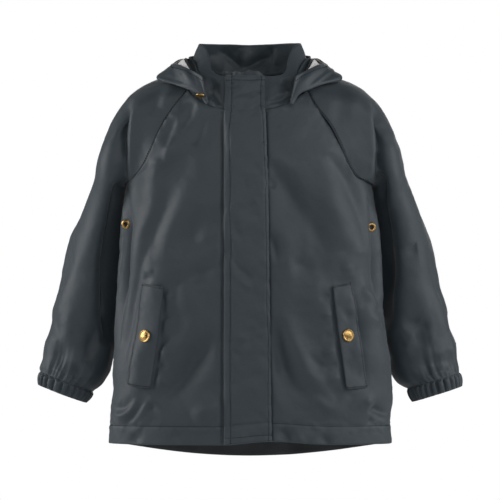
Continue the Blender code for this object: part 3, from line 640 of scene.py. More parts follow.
@dataclass
class HoodForm:
    """The hood, folded down: from its neck edge round its lower fold to its face edge."""

    columns: int = 230
    rows: int = 84
    # a share of a station, over which the hood's direction is read, and its inside's height
    reach: float = 0.2
    middle: float = 120.0
    # neck x y z, lower fold x y z, face edge x y z, thickness, lift of the lower layer, puff
    stations: tuple = (
        (-60, -65, -6, -56, -76, -19, -61, -71, 18, 5, 0, 0),
        (-65, -58, 8, -65, -70, -6, -71, -61, 24, 6.5, 0, 1),
        (-71, -48, 20, -79, -60, 0, -82, -48, 30, 7, 1, 1.5),
        (-77, -34, 33, -96, -44, 6, -91, -32, 34.5, 7.2, 0, 1),
        (-80, -18, 41, -117.5, -21, 12.5, -96.5, -14, 37.5, 6.8, -1, 0),
        (-81, 5, 43, -111, 4, 18.5, -93.5, 7, 42, 6.8, -2.5, 0),
        (-76, 31, 43, -103, 35, 25, -87, 32, 45, 7, -3, 0),
        (-60, 52, 43, -101, 62, -4, -76, 57, 44, 10, 3, 2),
        (-31, 64, 42, -62, 94, -72, -46, 80, 41, 13, 7, 7),
        (0, 67, 42, 0, 103, -104, 0, 91, 42, 16, 7, 9),
    )

    def grid(self) -> Array:
        """Points of the hood, from the left front corner round to the right one.

        Returns:
            Rows from the neck edge to the face edge.
        """
        last, curve, columns = len(self.stations) - 1, Curve(self.stations), []
        for c in range(self.columns + 1):
            at = 2.0 * c / self.columns
            mirror, place = (-1.0, last * at) if at < 1.0 else (1.0, last * (2.0 - at))
            row = curve(place)
            neck, fold, face_edge = row[0:3], row[3:6], row[6:9]
            thick, lift, puff = row[9:12]
            onward = curve(min(last, place + self.reach)) - curve(max(0.0, place - self.reach))
            down = unit(fold - neck)
            away = unit(np.cross(down, onward[3:6]))
            if away @ np.array([fold[0], fold[1], self.middle]) < 0.0:
                away = -away
            column = Curve([
                neck,
                lerp(neck, fold, 0.5) + away * lift,
                fold - down * thick * 0.5,
                fold + away * thick * 0.5,
                fold + away * thick - down * thick * 0.5,
                lerp(fold + away * thick, face_edge, 0.5) + away * puff,
                face_edge,
            ])(np.linspace(0.0, 6.0, self.rows + 1))
            column[:, 0] *= mirror
            columns.append(column)
        return np.stack(columns, axis=1)


# ---- folds, seams and gathers
@dataclass(frozen=True)
class Fold:
    """A soft ridge or trough along a curved line on one face of the jacket.

    The line runs through a start, a middle and an end, each in the face's own two axes. left
    and right are its half widths on either side of its travel. A trough's depth is negative.
    """

    face: Face
    line: tuple[float, ...]
    left: float
    right: float
    depth: float
    fade: float = 0.9
    # share of its depth in its narrow core, how much wider the rest is and how much is added
    core: float = 0.5
    spread: float = 2.3
    scale: float = 0.7
    steps: int = 12

    def moves(self, points: Array, normals: Array) -> Array:
        """How far the fold moves each point along its normal.

        Args:
            points: Points by three.
            normals: Their outward normals.

        Returns:
            One length for each point.
        """
        way, axes = np.array(self.face.value[0]), list(self.face.value[1])
        place, line = points[:, axes], np.array(self.line, float).reshape(3, 2)
        handle = 2.0 * line[1] - (line[0] + line[2]) / 2.0
        reach = 5.0 * max(self.left, self.right)
        facing = ramp(normals @ way, -0.05, 0.4)
        low, high = np.minimum(line.min(0), handle) - reach, np.maximum(line.max(0), handle) + reach
        near = np.nonzero((facing > 0.0) & np.all((place > low) & (place < high), axis=1))[0]
        moved = np.zeros(len(points))
        if not len(near):
            return moved
        t = np.linspace(0.0, 1.0, self.steps + 1)[:, None]
        path = (1 - t) ** 2 * line[0] + 2 * t * (1 - t) * handle + t * t * line[2]
        step = np.diff(path, axis=0)
        offset = place[near][:, None, :] - path[None, :-1]
        on = np.clip((offset * step).sum(axis=2) / (step * step).sum(axis=1), 0.0, 1.0)
        apart = np.linalg.norm(offset - on[..., None] * step, axis=2)
        best, pick = np.argmin(apart, axis=1), np.arange(len(near))
        side = step[best, 0] * offset[pick, best, 1] - step[best, 1] * offset[pick, best, 0]
        side = side / np.linalg.norm(step[best], axis=1)
        taper = np.sin(math.pi * ((best + on[pick, best]) / len(step))) ** self.fade
        width = lerp(self.right, self.left, step_down(-side / 1.5)) * (0.7 + 0.5 * taper)
        q = apart[pick, best] / width
        shape = self.core * np.exp(-q * q) + (1.0 - self.core) * bell(q, self.spread)
        scale = 1.0 + self.scale * min(1.0, min(self.left, self.right) / 8.0)
        moved[near] = scale * self.depth * shape * taper * facing[near] ** 1.2
        return moved


@dataclass(frozen=True)
class Creases:
    """Where the cloth creases.

    A row holds a line's start, middle and end, its half widths on the left and on the right
    of its travel, its depth and, on long valleys, how fast it fades at its ends. Fronts and
    backs are drawn in x and z, sides in y and z.
    """

    edges: tuple = (
        (-33.5, -28, -33.6, -240, -34, -462, 2.6, 2.2, -3.0, 0.12),
        (20.9, -27, 23.8, -140, 28.9, -462, 1.0, 1.2, -2.4, 0.12),
        (-124.5, -384, -115, -318, -107, -253, 2.6, 2.4, -2.6, 0.5),
        (123, -384, 113.5, -318, 105.3, -253, 2.4, 2.6, -2.6, 0.5),
        (-156, -379, -147, -318, -138, -240, 1.6, 2.2, -1.6, 0.4),
        (153, -382, 143, -318, 133, -246, 2.2, 1.6, -1.6, 0.4),
    )
    right_front: tuple = (
        (-93, -36, -103, -53, -108, -75, 4, 5, -3.5), (-96, -58, -104, -80, -108, -99, 4, 4, 3),
        (-129, -93, -118, -94, -109, -99, 4, 4, 2.5), (-69, -15, -77, -30, -90, -58, 5, 6, -4),
        (-55, -36, -66, -58, -73, -71, 5, 5, -2), (-44, -21, -34, -62, -31, -114, 5, 10, -3),
        (-70, -88, -109, -158, -129, -218, 14, 14, -5.5),
        (-73, -114, -98, -160, -107, -222, 12, 12, 3.2),
        (-55, -149, -70, -177, -92, -214, 9, 9, -3.6), (-42, -173, -53, -187, -64, -199, 7, 7, 2),
        (-44, -231, -62, -235, -73, -248, 7, 7, -2.8),
        (-131, -201, -150, -262, -163, -360, 5, 8, -5),
        (-139, -235, -131, -233, -122, -233, 3, 3, 2),
        (-138, -242, -132, -241, -125, -240, 3, 3, -2),
        (-42, -309, -76, -360, -122, -400, 10, 13, -9),
        (-116, -318, -109, -321, -103, -326, 4, 4, -2),
        (-177, -409, -160, -418, -142, -394, 4, 4, 4),
        (-174, -404, -161, -409, -148, -392, 4, 4, -3),
        (-161, -431, -148, -418, -135, -400, 3, 3, -4),
        (-153, -430, -138, -413, -127, -398, 4, 4, 3),
        (-131, -417, -126, -408, -122, -400, 4, 4, -3), (-73, -422, -56, -411, -38, -398, 8, 8, 4),
        (-96, -436, -91, -443, -86, -453, 4, 4, -1.8),
        (-150, -442, -145, -448, -139, -455, 4, 4, -2),
        (-110, -266, -104, -265, -96, -266, 3.5, 3.5, 2),
        (-112, -291, -106, -291, -98, -293, 3, 3, -2),
        (-115, -335, -109, -337, -101, -341, 3.5, 3.5, 2),
        (-118, -351, -112, -353, -104, -358, 3, 3, -2.4),
        (-121, -371, -113, -374, -104, -380, 3.5, 3.5, 2.2),
        (-88, -250, -84, -268, -88, -290, 7, 7, 2),
    )
    left_front: tuple = (
        (25, -92, 60, -144, 107.5, -216, 10, 10, -5), (79, -114, 109, -156, 127, -205, 14, 14, 3),
        (100, -80, 139, -140, 153, -209, 9, 8, -6), (150, -205, 160, -240, 172, -273, 8, 8, -4),
        (146.5, -253, 160, -266, 174, -281, 6, 6, 3), (25, -114, 29, -120, 34, -127, 4, 4, -2.5),
        (23, -182, 32, -200, 36, -222, 4, 4, -3), (51, -223, 73, -229, 84, -249, 8, 8, -3),
        (110, -247, 123, -245, 136, -242, 4, 4, -2), (118, -231, 127, -229, 136, -228, 3.5, 3.5, 2),
        (120.5, -294, 127, -289, 133, -283, 4, 4, -2), (148, -277, 160, -290, 172.5, -303, 6, 6, 3),
        (51, -287, 66, -345, 110, -398, 9, 9, 5), (42.5, -292, 44, -350, 79, -404, 10, 10, -6),
        (75, -335, 88, -351, 105, -357, 4, 4, -2.5), (94.5, -313, 102, -316, 109, -320, 4, 4, -1.5),
        (83, -391, 107, -408, 127, -391, 6, 6, 4), (153, -408, 167, -411, 180, -420, 4, 4, -6),
        (153, -422, 157, -425, 161, -429, 3, 3, -3), (148, -394, 154, -401, 159.5, -409, 4, 4, 3),
        (40, -434, 47, -443, 55, -453, 4, 4, -4), (57, -436, 64, -446, 72, -455, 4, 4, 3),
        (90, -440, 97, -449, 105, -457, 4, 4, -3.5), (104, -263, 98, -265, 90, -269, 3, 3, -2.2),
        (107, -286, 101, -288, 93, -292, 3, 3, 2), (112, -334, 104, -336, 94, -341, 3, 3, 2.2),
        (114, -350, 106, -353, 96, -358, 3, 3, -2.4), (117, -366, 109, -370, 99, -376, 3.5, 3.5, 2),
        (136, -262, 141, -300, 152, -338, 5, 5, -2.5),
    )
    right_sleeve: tuple = (
        (-159, -62, -160, -96, -159, -140, 1.6, 5, -7, 0.9),
        (-169, -118, -176, -215, -183, -330, 8, 6, -18, 0.55),
        (-108, 9, -119, -10, -126.5, -34, 6, 6, -3), (-99, 6.5, -107, -10, -112.5, -23, 5, 5, 2),
        (-253, -283, -252, -302, -250, -322, 5, 5, -3),
        (-240.5, -326, -243, -345, -245.7, -364, 6, 6, -4),
        (-219.7, -350, -224, -362, -227, -374, 5, 5, -4),
        (-186, -170, -181, -225, -186, -290, 9, 9, -3.5),
        (-222, -240, -232, -285, -231, -330, 12, 12, 2.5),
        (-196, -300, -205, -325, -208, -350, 6, 7, -3),
        (-180, -60, -188, -95, -185, -140, 10, 9, 2.5),
    )
    left_sleeve: tuple = (
        (167, -76, 167, -112, 165, -156, 6, 1.8, -11, 0.8),
        (170, -118, 174, -215, 181, -310, 5, 7, -10, 0.55),
        (206, -200, 212, -206, 219, -207, 8, 8, -2.5),
        (201.5, -307, 217, -301, 235, -309, 5, 8, -4),
        (212, -318, 222, -322, 236, -326, 10, 10, -2.5),
        (225, -343, 230, -356, 235, -369, 5, 5, -3.5),
        (243, -341, 245, -352, 246, -364, 5, 5, -3.5), (261, -335, 260, -350, 256, -364, 5, 5, -3),
        (190, -130, 205, -172, 213, -220, 12, 12, 2.5),
        (186, -150, 184, -200, 188, -260, 8, 9, -3.5), (238, -250, 246, -285, 250, -318, 9, 9, 2),
    )
    shoulders: tuple = (
        (-153, -8, -160, -40, -159, -92, 1.6, 6, -15, 1.2),
        (161, -12, 168, -52, 166, -112, 6, 1.6, -15, 1.0),
    )
    backs: tuple = (
        (-80, -150, -55, -225, -20, -300, 14, 12, -5), (90, -140, 75, -230, 40, -320, 12, 14, -5),
        (-60, -330, -85, -385, -120, -430, 12, 14, 4), (70, -340, 90, -390, 120, -430, 12, 12, -4),
        (-140, -130, -125, -190, -128, -260, 8, 10, -4),
        (135, -135, 128, -200, 138, -275, 10, 8, -4), (-110, -100, -85, -128, -50, -150, 8, 8, 3),
        (105, -95, 80, -130, 48, -158, 8, 8, -3), (-30, -60, -18, -110, -26, -165, 10, 8, -2.5),
        (35, -180, 20, -240, 28, -300, 9, 9, 2.5), (-150, -300, -138, -350, -150, -410, 9, 8, -4),
        (150, -290, 140, -350, 152, -405, 8, 9, -4), (-20, -380, 0, -420, 30, -450, 10, 10, -2.5),
        (-100, -200, -90, -250, -105, -310, 9, 9, 3), (205, -180, 222, -235, 235, -290, 9, 9, -4),
        (-205, -180, -222, -235, -235, -290, 9, 9, -4), (185, -120, 200, -160, 204, -215, 8, 8, 3),
        (-185, -120, -198, -165, -202, -220, 8, 8, -3), (215, -280, 238, -300, 262, -305, 8, 7, -4),
        (-210, -285, -235, -300, -258, -300, 8, 7, -3.5),
        (-232, -335, -240, -350, -243, -366, 5, 5, -3), (240, -330, 247, -350, 250, -366, 5, 5, -3),
    )
    right_side: tuple = (
        (10, -60, 30, -110, 34, -170, 9, 9, -3), (52, -150, 46, -200, 52, -260, 8, 8, 3),
        (12, -190, 22, -240, 20, -300, 9, 9, -3), (45, -285, 30, -306, 8, -312, 8, 7, -3.5),
        (24, -325, 28, -345, 27, -362, 5, 5, -3),
    )
    left_side: tuple = (
        (8, -64, 26, -115, 30, -180, 9, 9, -3), (55, -140, 50, -195, 54, -250, 8, 8, 3),
        (10, -200, 18, -250, 16, -305, 9, 9, -3), (48, -290, 34, -302, 12, -310, 8, 7, -3.5),
        (38, -328, 36, -346, 34, -363, 5, 5, -3),
    )
    flap: tuple = (
        (-22.5, -218, -9.5, -231, 5.5, -244, 3, 4, -2.5),
        (-20.5, -235, -7.5, -248, 5.5, -255, 3, 3, 2), (-11.7, -157, 0, -150, 10, -144, 4, 4, -1.6),
        (-14, -182, -2, -173, 10, -164, 4, 4, 2), (-22.5, -333, -15, -338, -7.5, -344, 3, 3, -2),
        (-20.5, -313, -10, -318, 1, -322, 4, 4, 1.6),
    )
    hood: tuple = (
        (-103, 32, -92, 19, -84, 10, 3, 4, -1.6), (-119, 21, -99, 16, -77, 7, 3, 3, -1.4),
        (-97, 34, -82, 23, -69, 9, 4, 4, 1.8), (-80, 29, -73, 18, -66, 3, 3, 3, -1.4),
        (110, 34, 94, 21, 74, 5, 3, 3, -2.2), (117, 31, 104, 21, 89, 10, 3, 3, -2.2),
        (114, 34, 99, 21, 81, 7, 3, 3, 2.2), (98, 34, 82, 22, 67, 6, 4, 4, 1.6),
    )
    collar_front: tuple = (
        (-44, 16, -50, 0, -54, -20, 5, 8, -5.5), (46, 16, 52, 0, 56, -18, 8, 5, -5.5),
        (-50, 2, -42, -8, -32, -23, 2.5, 2.5, -3.4), (-52, -8, -45, -17, -37, -24, 2.5, 2.5, 2.2),
        (22, -13, 38, -7, 55, 5, 2, 2.5, 2.6), (24, -17, 40, -12, 56, -3, 2.5, 2, -3.2),
        (-36, 12, -37, -4, -36, -22, 4, 4, 1.4), (34, 10, 37, -2, 35, -20, 4, 4, 1.4),
        (27, -8, 40, -14, 50, -22, 3, 4, -1.6), (-36, -14, -44, -18, -52, -24, 3, 3, -1.4),
    )
    collar_back: tuple = (
        (-42, 58, -26, 47, -9, 33, 5, 4, 4.6), (-4, 32, 13, 43, 28, 47, 4, 5, 4.4),
        (-9, 60, -7, 47, -5, 35, 7, 7, -3.2), (28, 62, 30, 50, 29, 36, 3, 3, 3.6),
        (36, 60, 37, 48, 36, 36, 4, 4, -1.8), (-50, 50, -44, 38, -34, 30, 5, 6, -2.2),
        (-20, 58, -12, 52, -2, 55, 5, 5, 1.6),
    )

    def folds(self, face: Face, *names: str) -> list[Fold]:
        """Folds of some of the tables, on one face."""
        rows = [row for name in names for row in getattr(self, name)]
        return [Fold(face, tuple(row[:6]), *row[6:]) for row in rows]

    def collar(self) -> list[Fold]:
        """Folds of the collar alone."""
        return self.folds(Face.FRONT, "collar_front") + self.folds(Face.BACK, "collar_back")

    def body(self) -> list[Fold]:
        """Folds of the fronts, back and sleeves.

        Returns:
            The folds.
        """
        return (self.folds(Face.FRONT, "edges", "right_front", "left_front", "right_sleeve",
                           "left_sleeve", "shoulders")
                + self.folds(Face.BACK, "backs") + self.folds(Face.RIGHT, "right_side")
                + self.folds(Face.LEFT, "left_side"))


def cut_size(grid: Array, ring: bool) -> tuple[tuple[float, float], float]:
    """Flat size of a piece's pattern: its widest, its longest and its area.

    Args:
        grid: Points of the piece before it is wrinkled.
        ring: Whether the rows close into rings.

    Returns:
        Width and length in metres, and the area in square metres.
    """
    closed = np.concatenate([grid, grid[:, :1]], axis=1) if ring else grid
    wide, long = (np.linalg.norm(np.diff(closed, axis=axis), axis=2).sum(axis=axis).max()
                  for axis in (1, 0))
    one = np.cross(closed[1:, 1:] - closed[:-1, :-1], closed[1:, :-1] - closed[:-1, 1:])
    area = np.linalg.norm(one, axis=2).sum() / 2.0
    return (wide * MM, long * MM), area * MM * MM


@dataclass
class Wall:
    """A piece of cloth on a grid of points: where it is sewn, how thick and how wrinkled it is."""

    grid: Array
    thickness: float
    ring: bool = False
    sewn: tuple[Border, ...] = ()
    wrinkle: float = 1.0
    drag: float = 1.9
    hem: float = 0.0
    channels: tuple[tuple[Border, float], ...] = ()
    gathers: float = 0.0
    # a length at which nothing shows of a seam
    far: float = 60.0
    # lengths from crest to crest, seeds and heights of the ripples
    warp: tuple = (95.0, 71, 14.0)
    calm: tuple = (150.0, 12, 0.45)
    folds: tuple = (46.0, 5)
    small: tuple = (26.0, 9, 0.5)
    finest: tuple = (9.0, 14, 0.10)
    pucker: tuple = (11.0, 23, 0.45)
    hem_pucker: tuple = (12.0, 31, 0.45)
    channel_pucker: tuple = (9.0, 37, 0.3)
    # depths and widths of the grooves along seams, above the hem and along channels
    seam_groove: tuple = (0.3, 1.2)
    hem_groove: tuple = (0.9, 1.1)
    channel_groove: tuple = (0.55, 1.1)
    # how far the hem's doubled cloth stands out above and at its edge
    hem_step: float = 0.6
    hem_flare: float = 2.2

    def __post_init__(self) -> None:
        """Works out the pattern's size, the normals and the distance from each border."""
        self.cut = cut_size(self.grid, self.ring)
        self.lift(0.0)

    def lift(self, height: float) -> None:
        """Moves the cloth out along its normals and measures it again.

        Args:
            height: How far it moves.
        """
        if height:
            self.grid = self.grid + self.normals * height
        self.normals = grid_normals(self.grid, self.ring)
        self.measure()

    def measure(self) -> None:
        """Lengths along the cloth from every border."""
        borders = list(Border)[:2 if self.ring else 4]
        self.gaps = {border: travelled(self.grid, k // 2, backwards=k % 2 == 1)
                     for k, border in enumerate(borders)}

    def line_at(self, border: Border, distance: float) -> tuple[Array, Array]:
        """A line on the cloth at one distance from a border.

        Args:
            border: The border.
            distance: Length along the cloth from it.

        Returns:
            The line's points and their normals.
        """
        axis, way = divmod(list(Border).index(border), 2)
        gap, grid, ways = (
            np.moveaxis(part, axis, 0)[::-1 if way else 1]
            for part in (self.gaps[border], self.grid, grid_normals(self.grid, self.ring)))
        line = np.arange(gap.shape[1])
        i = np.clip((gap < distance).sum(axis=0), 1, len(gap) - 1)
        t = ramp(distance, gap[i - 1, line], gap[i, line] - gap[i - 1, line])[:, None]
        return (lerp(grid[i - 1, line], grid[i, line], t),
                unit(lerp(ways[i - 1, line], ways[i, line], t)))

    def seam_distance(self) -> Array:
        """Length along the cloth from the nearest sewn border.

        Returns:
            One length for each point, no more than the far length.
        """
        nearest = np.full(self.grid.shape[:2], self.far)
        for border in self.sewn:
            nearest = np.minimum(nearest, self.gaps[border])
        return nearest

    def dragged(self, points: Array) -> Array:
        """Long soft folds that fan out downwards and outwards from the shoulders.

        Args:
            points: Where to read them.

        Returns:
            One value for each point.
        """
        out, down, calm, apart = np.abs(points[:, 0]), -points[:, 2], 1.0, 400.0
        sine, cosine, deep, long = (0.33, 0.94, 1.0, 0.28) if self.ring else (0.48, 0.88, 0.3, 0.26)
        across = np.stack([cosine * out - sine * down, deep * points[:, 1],
                           long * (sine * out + cosine * down)], axis=-1)
        across[:, 0] += apart * np.sign(points[:, 0])
        if self.ring:
            calm = 0.15 + 0.85 * np.abs(self.normals.reshape(-1, 3)[:, 1]) ** 1.5
        edge = ramp(out, 14.0, 34.0)
        return waves(across, *self.folds) * calm * edge * edge * (3.0 - 2.0 * edge)

    def gathered(self) -> Array:
        """Gathers that run into the last row, uneven in size and length.

        Returns:
            A depth for each point.
        """
        turn = np.linspace(0.0, FULL_TURN, self.grid.shape[1], endpoint=False)
        away = self.gaps[Border.TOP]
        phase = turn * 22.0 + 1.6 * np.sin(3.0 * turn + 0.7) + 0.9 * np.sin(7.0 * turn)
        wide = turn * 9.0 + 1.2 * np.sin(2.0 * turn + 1.9) + 0.8 * np.sin(5.0 * turn)
        length = 13.0 + 6.0 * np.sin(4.0 * turn + 0.4) + 3.0 * np.sin(9.0 * turn + 2.0)
        fine = (0.35 - np.abs(np.sin(phase / 2.0)) ** 0.8) * np.exp(-away / length)
        broad = np.sin(wide) * bell(away, 2.4 * length)
        return self.gathers * (1.5 * fine + 0.6 * broad) * (1.0 - 0.9 * bell(away, 3.0))

    def crease(self, folds: list[Fold]) -> None:
        """Moves the points by the folds, the small wrinkles and the seams' dips.

        Args:
            folds: The listed folds.
        """
        flat, ways = self.grid.reshape(-1, 3), self.normals.reshape(-1, 3)
        move = np.zeros(len(flat))
        for fold in folds:
            move += fold.moves(flat, ways)

        def ripple(kind: tuple, points: Array) -> Array:
            """One kind of ripple.

            Args:
                kind: Its length, seed and height.
                points: Where to read it.

            Returns:
                One value for each point.
            """
            return kind[2] * waves(points, *kind[:2])

        length, seed, size = self.warp
        warp = np.stack([waves(flat, length, seed + k) for k in range(3)], axis=-1) * size
        calm = 1.0 - self.calm[2] + ripple(self.calm, flat)
        move += self.wrinkle * self.drag * self.dragged(flat + warp)
        move += self.wrinkle * ripple(self.small, flat + warp) * calm
        move += self.wrinkle * ripple(self.finest, flat)
        gap = self.seam_distance().reshape(-1)
        move += ripple(self.pucker, flat) * bell(gap, 7.0)
        move -= self.seam_groove[0] * bell(gap, self.seam_groove[1])
        if self.hem:
            above = self.gaps[Border.BOTTOM].reshape(-1) - self.hem
            move += step_down(above / 0.8, self.hem_step)
            move += self.hem_flare * np.clip(-above / self.hem, 0.0, 1.0)
            move -= self.hem_groove[0] * bell(above, self.hem_groove[1])
            move += ripple(self.hem_pucker, flat) * bell(above, 9.0)
        for border, distance in self.channels:
            apart = self.gaps[border].reshape(-1) - distance
            move -= self.channel_groove[0] * bell(apart, self.channel_groove[1])
            move += ripple(self.channel_pucker, flat) * bell(apart, 4.0)
        if self.gathers:
            move += self.gathered().reshape(-1)
        self.grid = (flat + ways * move[:, None]).reshape(self.grid.shape)

    def mesh(self, name: str, inside_shade: float) -> bpy.types.Object:
        """A closed wall under the grid of outer points, with rounded borders.

        Args:
            name: The object's name.
            inside_shade: How far the inner face is darkened with painted shade, from 0 to 1.

        Returns:
            The object, linked to the scene.
        """
        grid, (rows, columns) = self.grid, self.grid.shape[:2]
        size = rows * columns
        numbers = np.arange(size).reshape(rows, columns)
        outer = grid.reshape(-1, 3)
        inner = (grid - grid_normals(grid, self.ring) * self.thickness).reshape(-1, 3)
        quads = grid_quads(rows, columns, self.ring)
        faces = [quads, quads[:, ::-1] + size]
        inward = grid.copy()
        inward[0], inward[-1] = grid[1], grid[-2]
        loops = [numbers[0], numbers[-1][::-1]]
        if not self.ring:
            inward[:, 0], inward[:, -1] = grid[:, 1], grid[:, -2]
            loops = [np.concatenate([numbers[0], numbers[1:, -1], numbers[-1, :-1][::-1],
                                     numbers[1:-1, 0][::-1]])]
        inward = inward.reshape(-1, 3)
        middles, first, bulge = [], 2 * size, 0.42
        for loop in loops:
            out = unit(outer[loop] - inward[loop])
            middles.append((outer[loop] + inner[loop]) / 2 + out * self.thickness * bulge)
            rim = first + np.arange(len(loop))
            (i, j), (m, n) = ((part, np.roll(part, -1)) for part in (loop, rim))
            faces += [np.stack([j, i, m, n], -1), np.stack([n, m, i + size, j + size], -1)]
            first += len(loop)
        obj = mesh_object(name, np.concatenate([outer, inner, *middles]), np.concatenate(faces))
        # the distance from a seam feeds the material's painted shade along seams
        gap, inside = np.full(first, self.far), np.zeros(first)
        gap[:2 * size] = np.tile(self.seam_distance().reshape(-1), 2)
        # the inner face's share of painted shade, for the material
        inside[size:2 * size] = inside_shade
        for key, values in (("seam_gap", gap), ("inside", inside)):
            attribute = obj.data.attributes.new(key, "FLOAT", "POINT")
            attribute.data.foreach_set("value", values.astype(np.float32))
        return obj

    def lay(self, finishes: "Finishes", name: str, held: str, rests_on: tuple[str, ...] = (),
            finish: str = "cloth", node: bool = True, inside_shade: float = 1.0) -> None:
        """Args:
            finishes: The materials.
            name: The node that it stands for.
            held: How the cloth is held; not used.
            rests_on: What it lies on; not used.
            finish: Its material.
            node: Whether the frame has a node that it replaces.
            inside_shade: How far the inner face is darkened with painted shade.
        """
        obj = self.mesh("cloth_" + name, inside_shade)
        finishes.dress(obj, finish, name if node else None)


def share_seams(walls: list[Wall]) -> None:
    """Gives the border points that walls have in common the same normals.

    Args:
        walls: Walls whose borders meet.
    """
    total: dict[tuple, Array] = {}

    def border_places(wall: Wall) -> list[tuple[tuple[int, int], tuple]]:
        """Border points of a wall.

        Args:
            wall: The wall.

        Returns:
            Their rows and columns, and their rounded places.
        """
        rows, columns = wall.grid.shape[:2]
        places = [(r, c) for r in (0, rows - 1) for c in range(columns)]
        if not wall.ring:
            places += [(r, c) for r in range(1, rows - 1) for c in (0, columns - 1)]
        return [(place, tuple(np.round(wall.grid[place], 2))) for place in places]

    for wall in walls:
        for place, key in border_places(wall):
            total[key] = total.get(key, 0.0) + wall.normals[place]
    for wall in walls:
        for place, key in border_places(wall):
            wall.normals[place] = unit(total[key])


def mesh_object(name: str, points: Array, faces: Array) -> bpy.types.Object:
    """A smooth-shaded object.

    Args:
        name: The object's name.
        points: Its points.
        faces: Corner numbers, the same count for every face.

    Returns:
        The object, linked to the scene.
    """
    mesh = bpy.data.meshes.new(name)
    mesh.vertices.add(len(points))
    mesh.vertices.foreach_set("co", (points * MM).astype(np.float32).reshape(-1))
    mesh.loops.add(faces.size)
    mesh.loops.foreach_set("vertex_index", faces.astype(np.int32).reshape(-1))
    mesh.polygons.add(len(faces))
    starts = np.arange(0, faces.size, faces.shape[1], dtype=np.int32)
    mesh.polygons.foreach_set("loop_start", starts)
    mesh.update(calc_edges=True)
    mesh.shade_smooth()
    obj = bpy.data.objects.new(name, mesh)
    bpy.context.scene.collection.objects.link(obj)
    return obj


# ---- finishes
def feed(tree: bpy.types.NodeTree, node: bpy.types.Node, inputs: dict) -> bpy.types.Node:
    """Sets a node's inputs to values or joins them to other nodes' sockets.

    Args:
        tree: The tree that the node is in.
        node: The node.
        inputs: A value or a socket for each input's name or number.

    Returns:
        The node.
    """
    for key, value in inputs.items():
        if isinstance(value, bpy.types.NodeSocket):
            tree.links.new(value, node.inputs[key])
        else:
            node.inputs[key].default_value = value
    return node


def add(tree: bpy.types.NodeTree, kind: str, inputs: dict | None = None, out: int | str = 0,
        **settings: Any) -> bpy.types.NodeSocket:
    """Adds a shader node and joins it to what feeds it.

    Args:
        tree: The tree that it is added to.
        kind: Its type, without the usual prefix.
        inputs: A value or a socket for each input's name or number.
        out: Which of its outputs is wanted.
        settings: Its own settings.

    Returns:
        The output.
    """
    node = tree.nodes.new("ShaderNode" + kind)
    for name, value in settings.items():
        setattr(node, name, value)
    return feed(tree, node, inputs or {}).outputs[out]


def mix_colours(tree: bpy.types.NodeTree, factor: Any, a: Any, b: Any) -> bpy.types.NodeSocket:
    """The mix of two colours, each three numbers or a socket.

    Args:
        tree: The tree that it is made in.
        factor: The share of the second.
        a: The first.
        b: The second.

    Returns:
        The mixed colour's socket.
    """
    ends = {key: part if isinstance(part, bpy.types.NodeSocket) else (*part, 1.0)
            for key, part in (("A", a), ("B", b))}
    return add(tree, "Mix", {"Factor": factor, **ends}, "Result", data_type="RGBA")


def new_material(name: str) -> tuple[bpy.types.Material, bpy.types.NodeTree, bpy.types.Node]:
    """Makes a material.

    Args:
        name: Its name.

    Returns:
        The material, its node tree and its shader.
    """
    material = bpy.data.materials.new(name)
    material.use_nodes = True
    return material, material.node_tree, material.node_tree.nodes["Principled BSDF"]


def cloth_grain_and_shade_group() -> bpy.types.NodeTree:
    """The grain of coated cloth: its height and mottling, and masks for the painted shade along
    seams and on the inner face.

    Returns:
        The node group.
    """
    tree = bpy.data.node_groups.new("coated_cloth_grain", "ShaderNodeTree")
    for name, kind in (("Grain size", "INPUT"), ("Wrinkle size", "INPUT"), ("Height", "OUTPUT"),
                       ("Mottle", "OUTPUT"), ("Seam", "OUTPUT"), ("Inside", "OUTPUT")):
        tree.interface.new_socket(name=name, in_out=kind, socket_type="NodeSocketFloat")
    sizes = tree.nodes.new("NodeGroupInput").outputs
    place = add(tree, "TexCoord", out="Object")
    grain = add(tree, "TexNoise", {"Vector": place, "Scale": sizes["Grain size"],
                                   "Detail": 1.0}, "Fac")
    wrinkle = add(tree, "TexNoise", {"Vector": place, "Scale": sizes["Wrinkle size"],
                                     "Detail": 4.0, "Roughness": 0.6, "Distortion": 0.6}, "Fac")
    gap = add(tree, "Attribute", out="Fac", attribute_name="seam_gap")
    feed(tree, tree.nodes.new("NodeGroupOutput"), {
        "Height": add(tree, "Math", {0: grain, 1: 0.10, 2: wrinkle}, operation="MULTIPLY_ADD"),
        "Mottle": add(tree, "TexNoise", {"Vector": place, "Scale": 38.0, "Detail": 6.0}, "Fac"),
        # painted shade mask: one at a seam, fading to nothing 1.5 mm from it
        "Seam": add(tree, "MapRange", {"Value": gap, "From Min": 0.0, "From Max": 1.5,
                                       "To Min": 1.0, "To Max": 0.0}, "Result"),
        # painted shade mask of the inner face
        "Inside": add(tree, "Attribute", out="Fac", attribute_name="inside"),
    })
    return tree


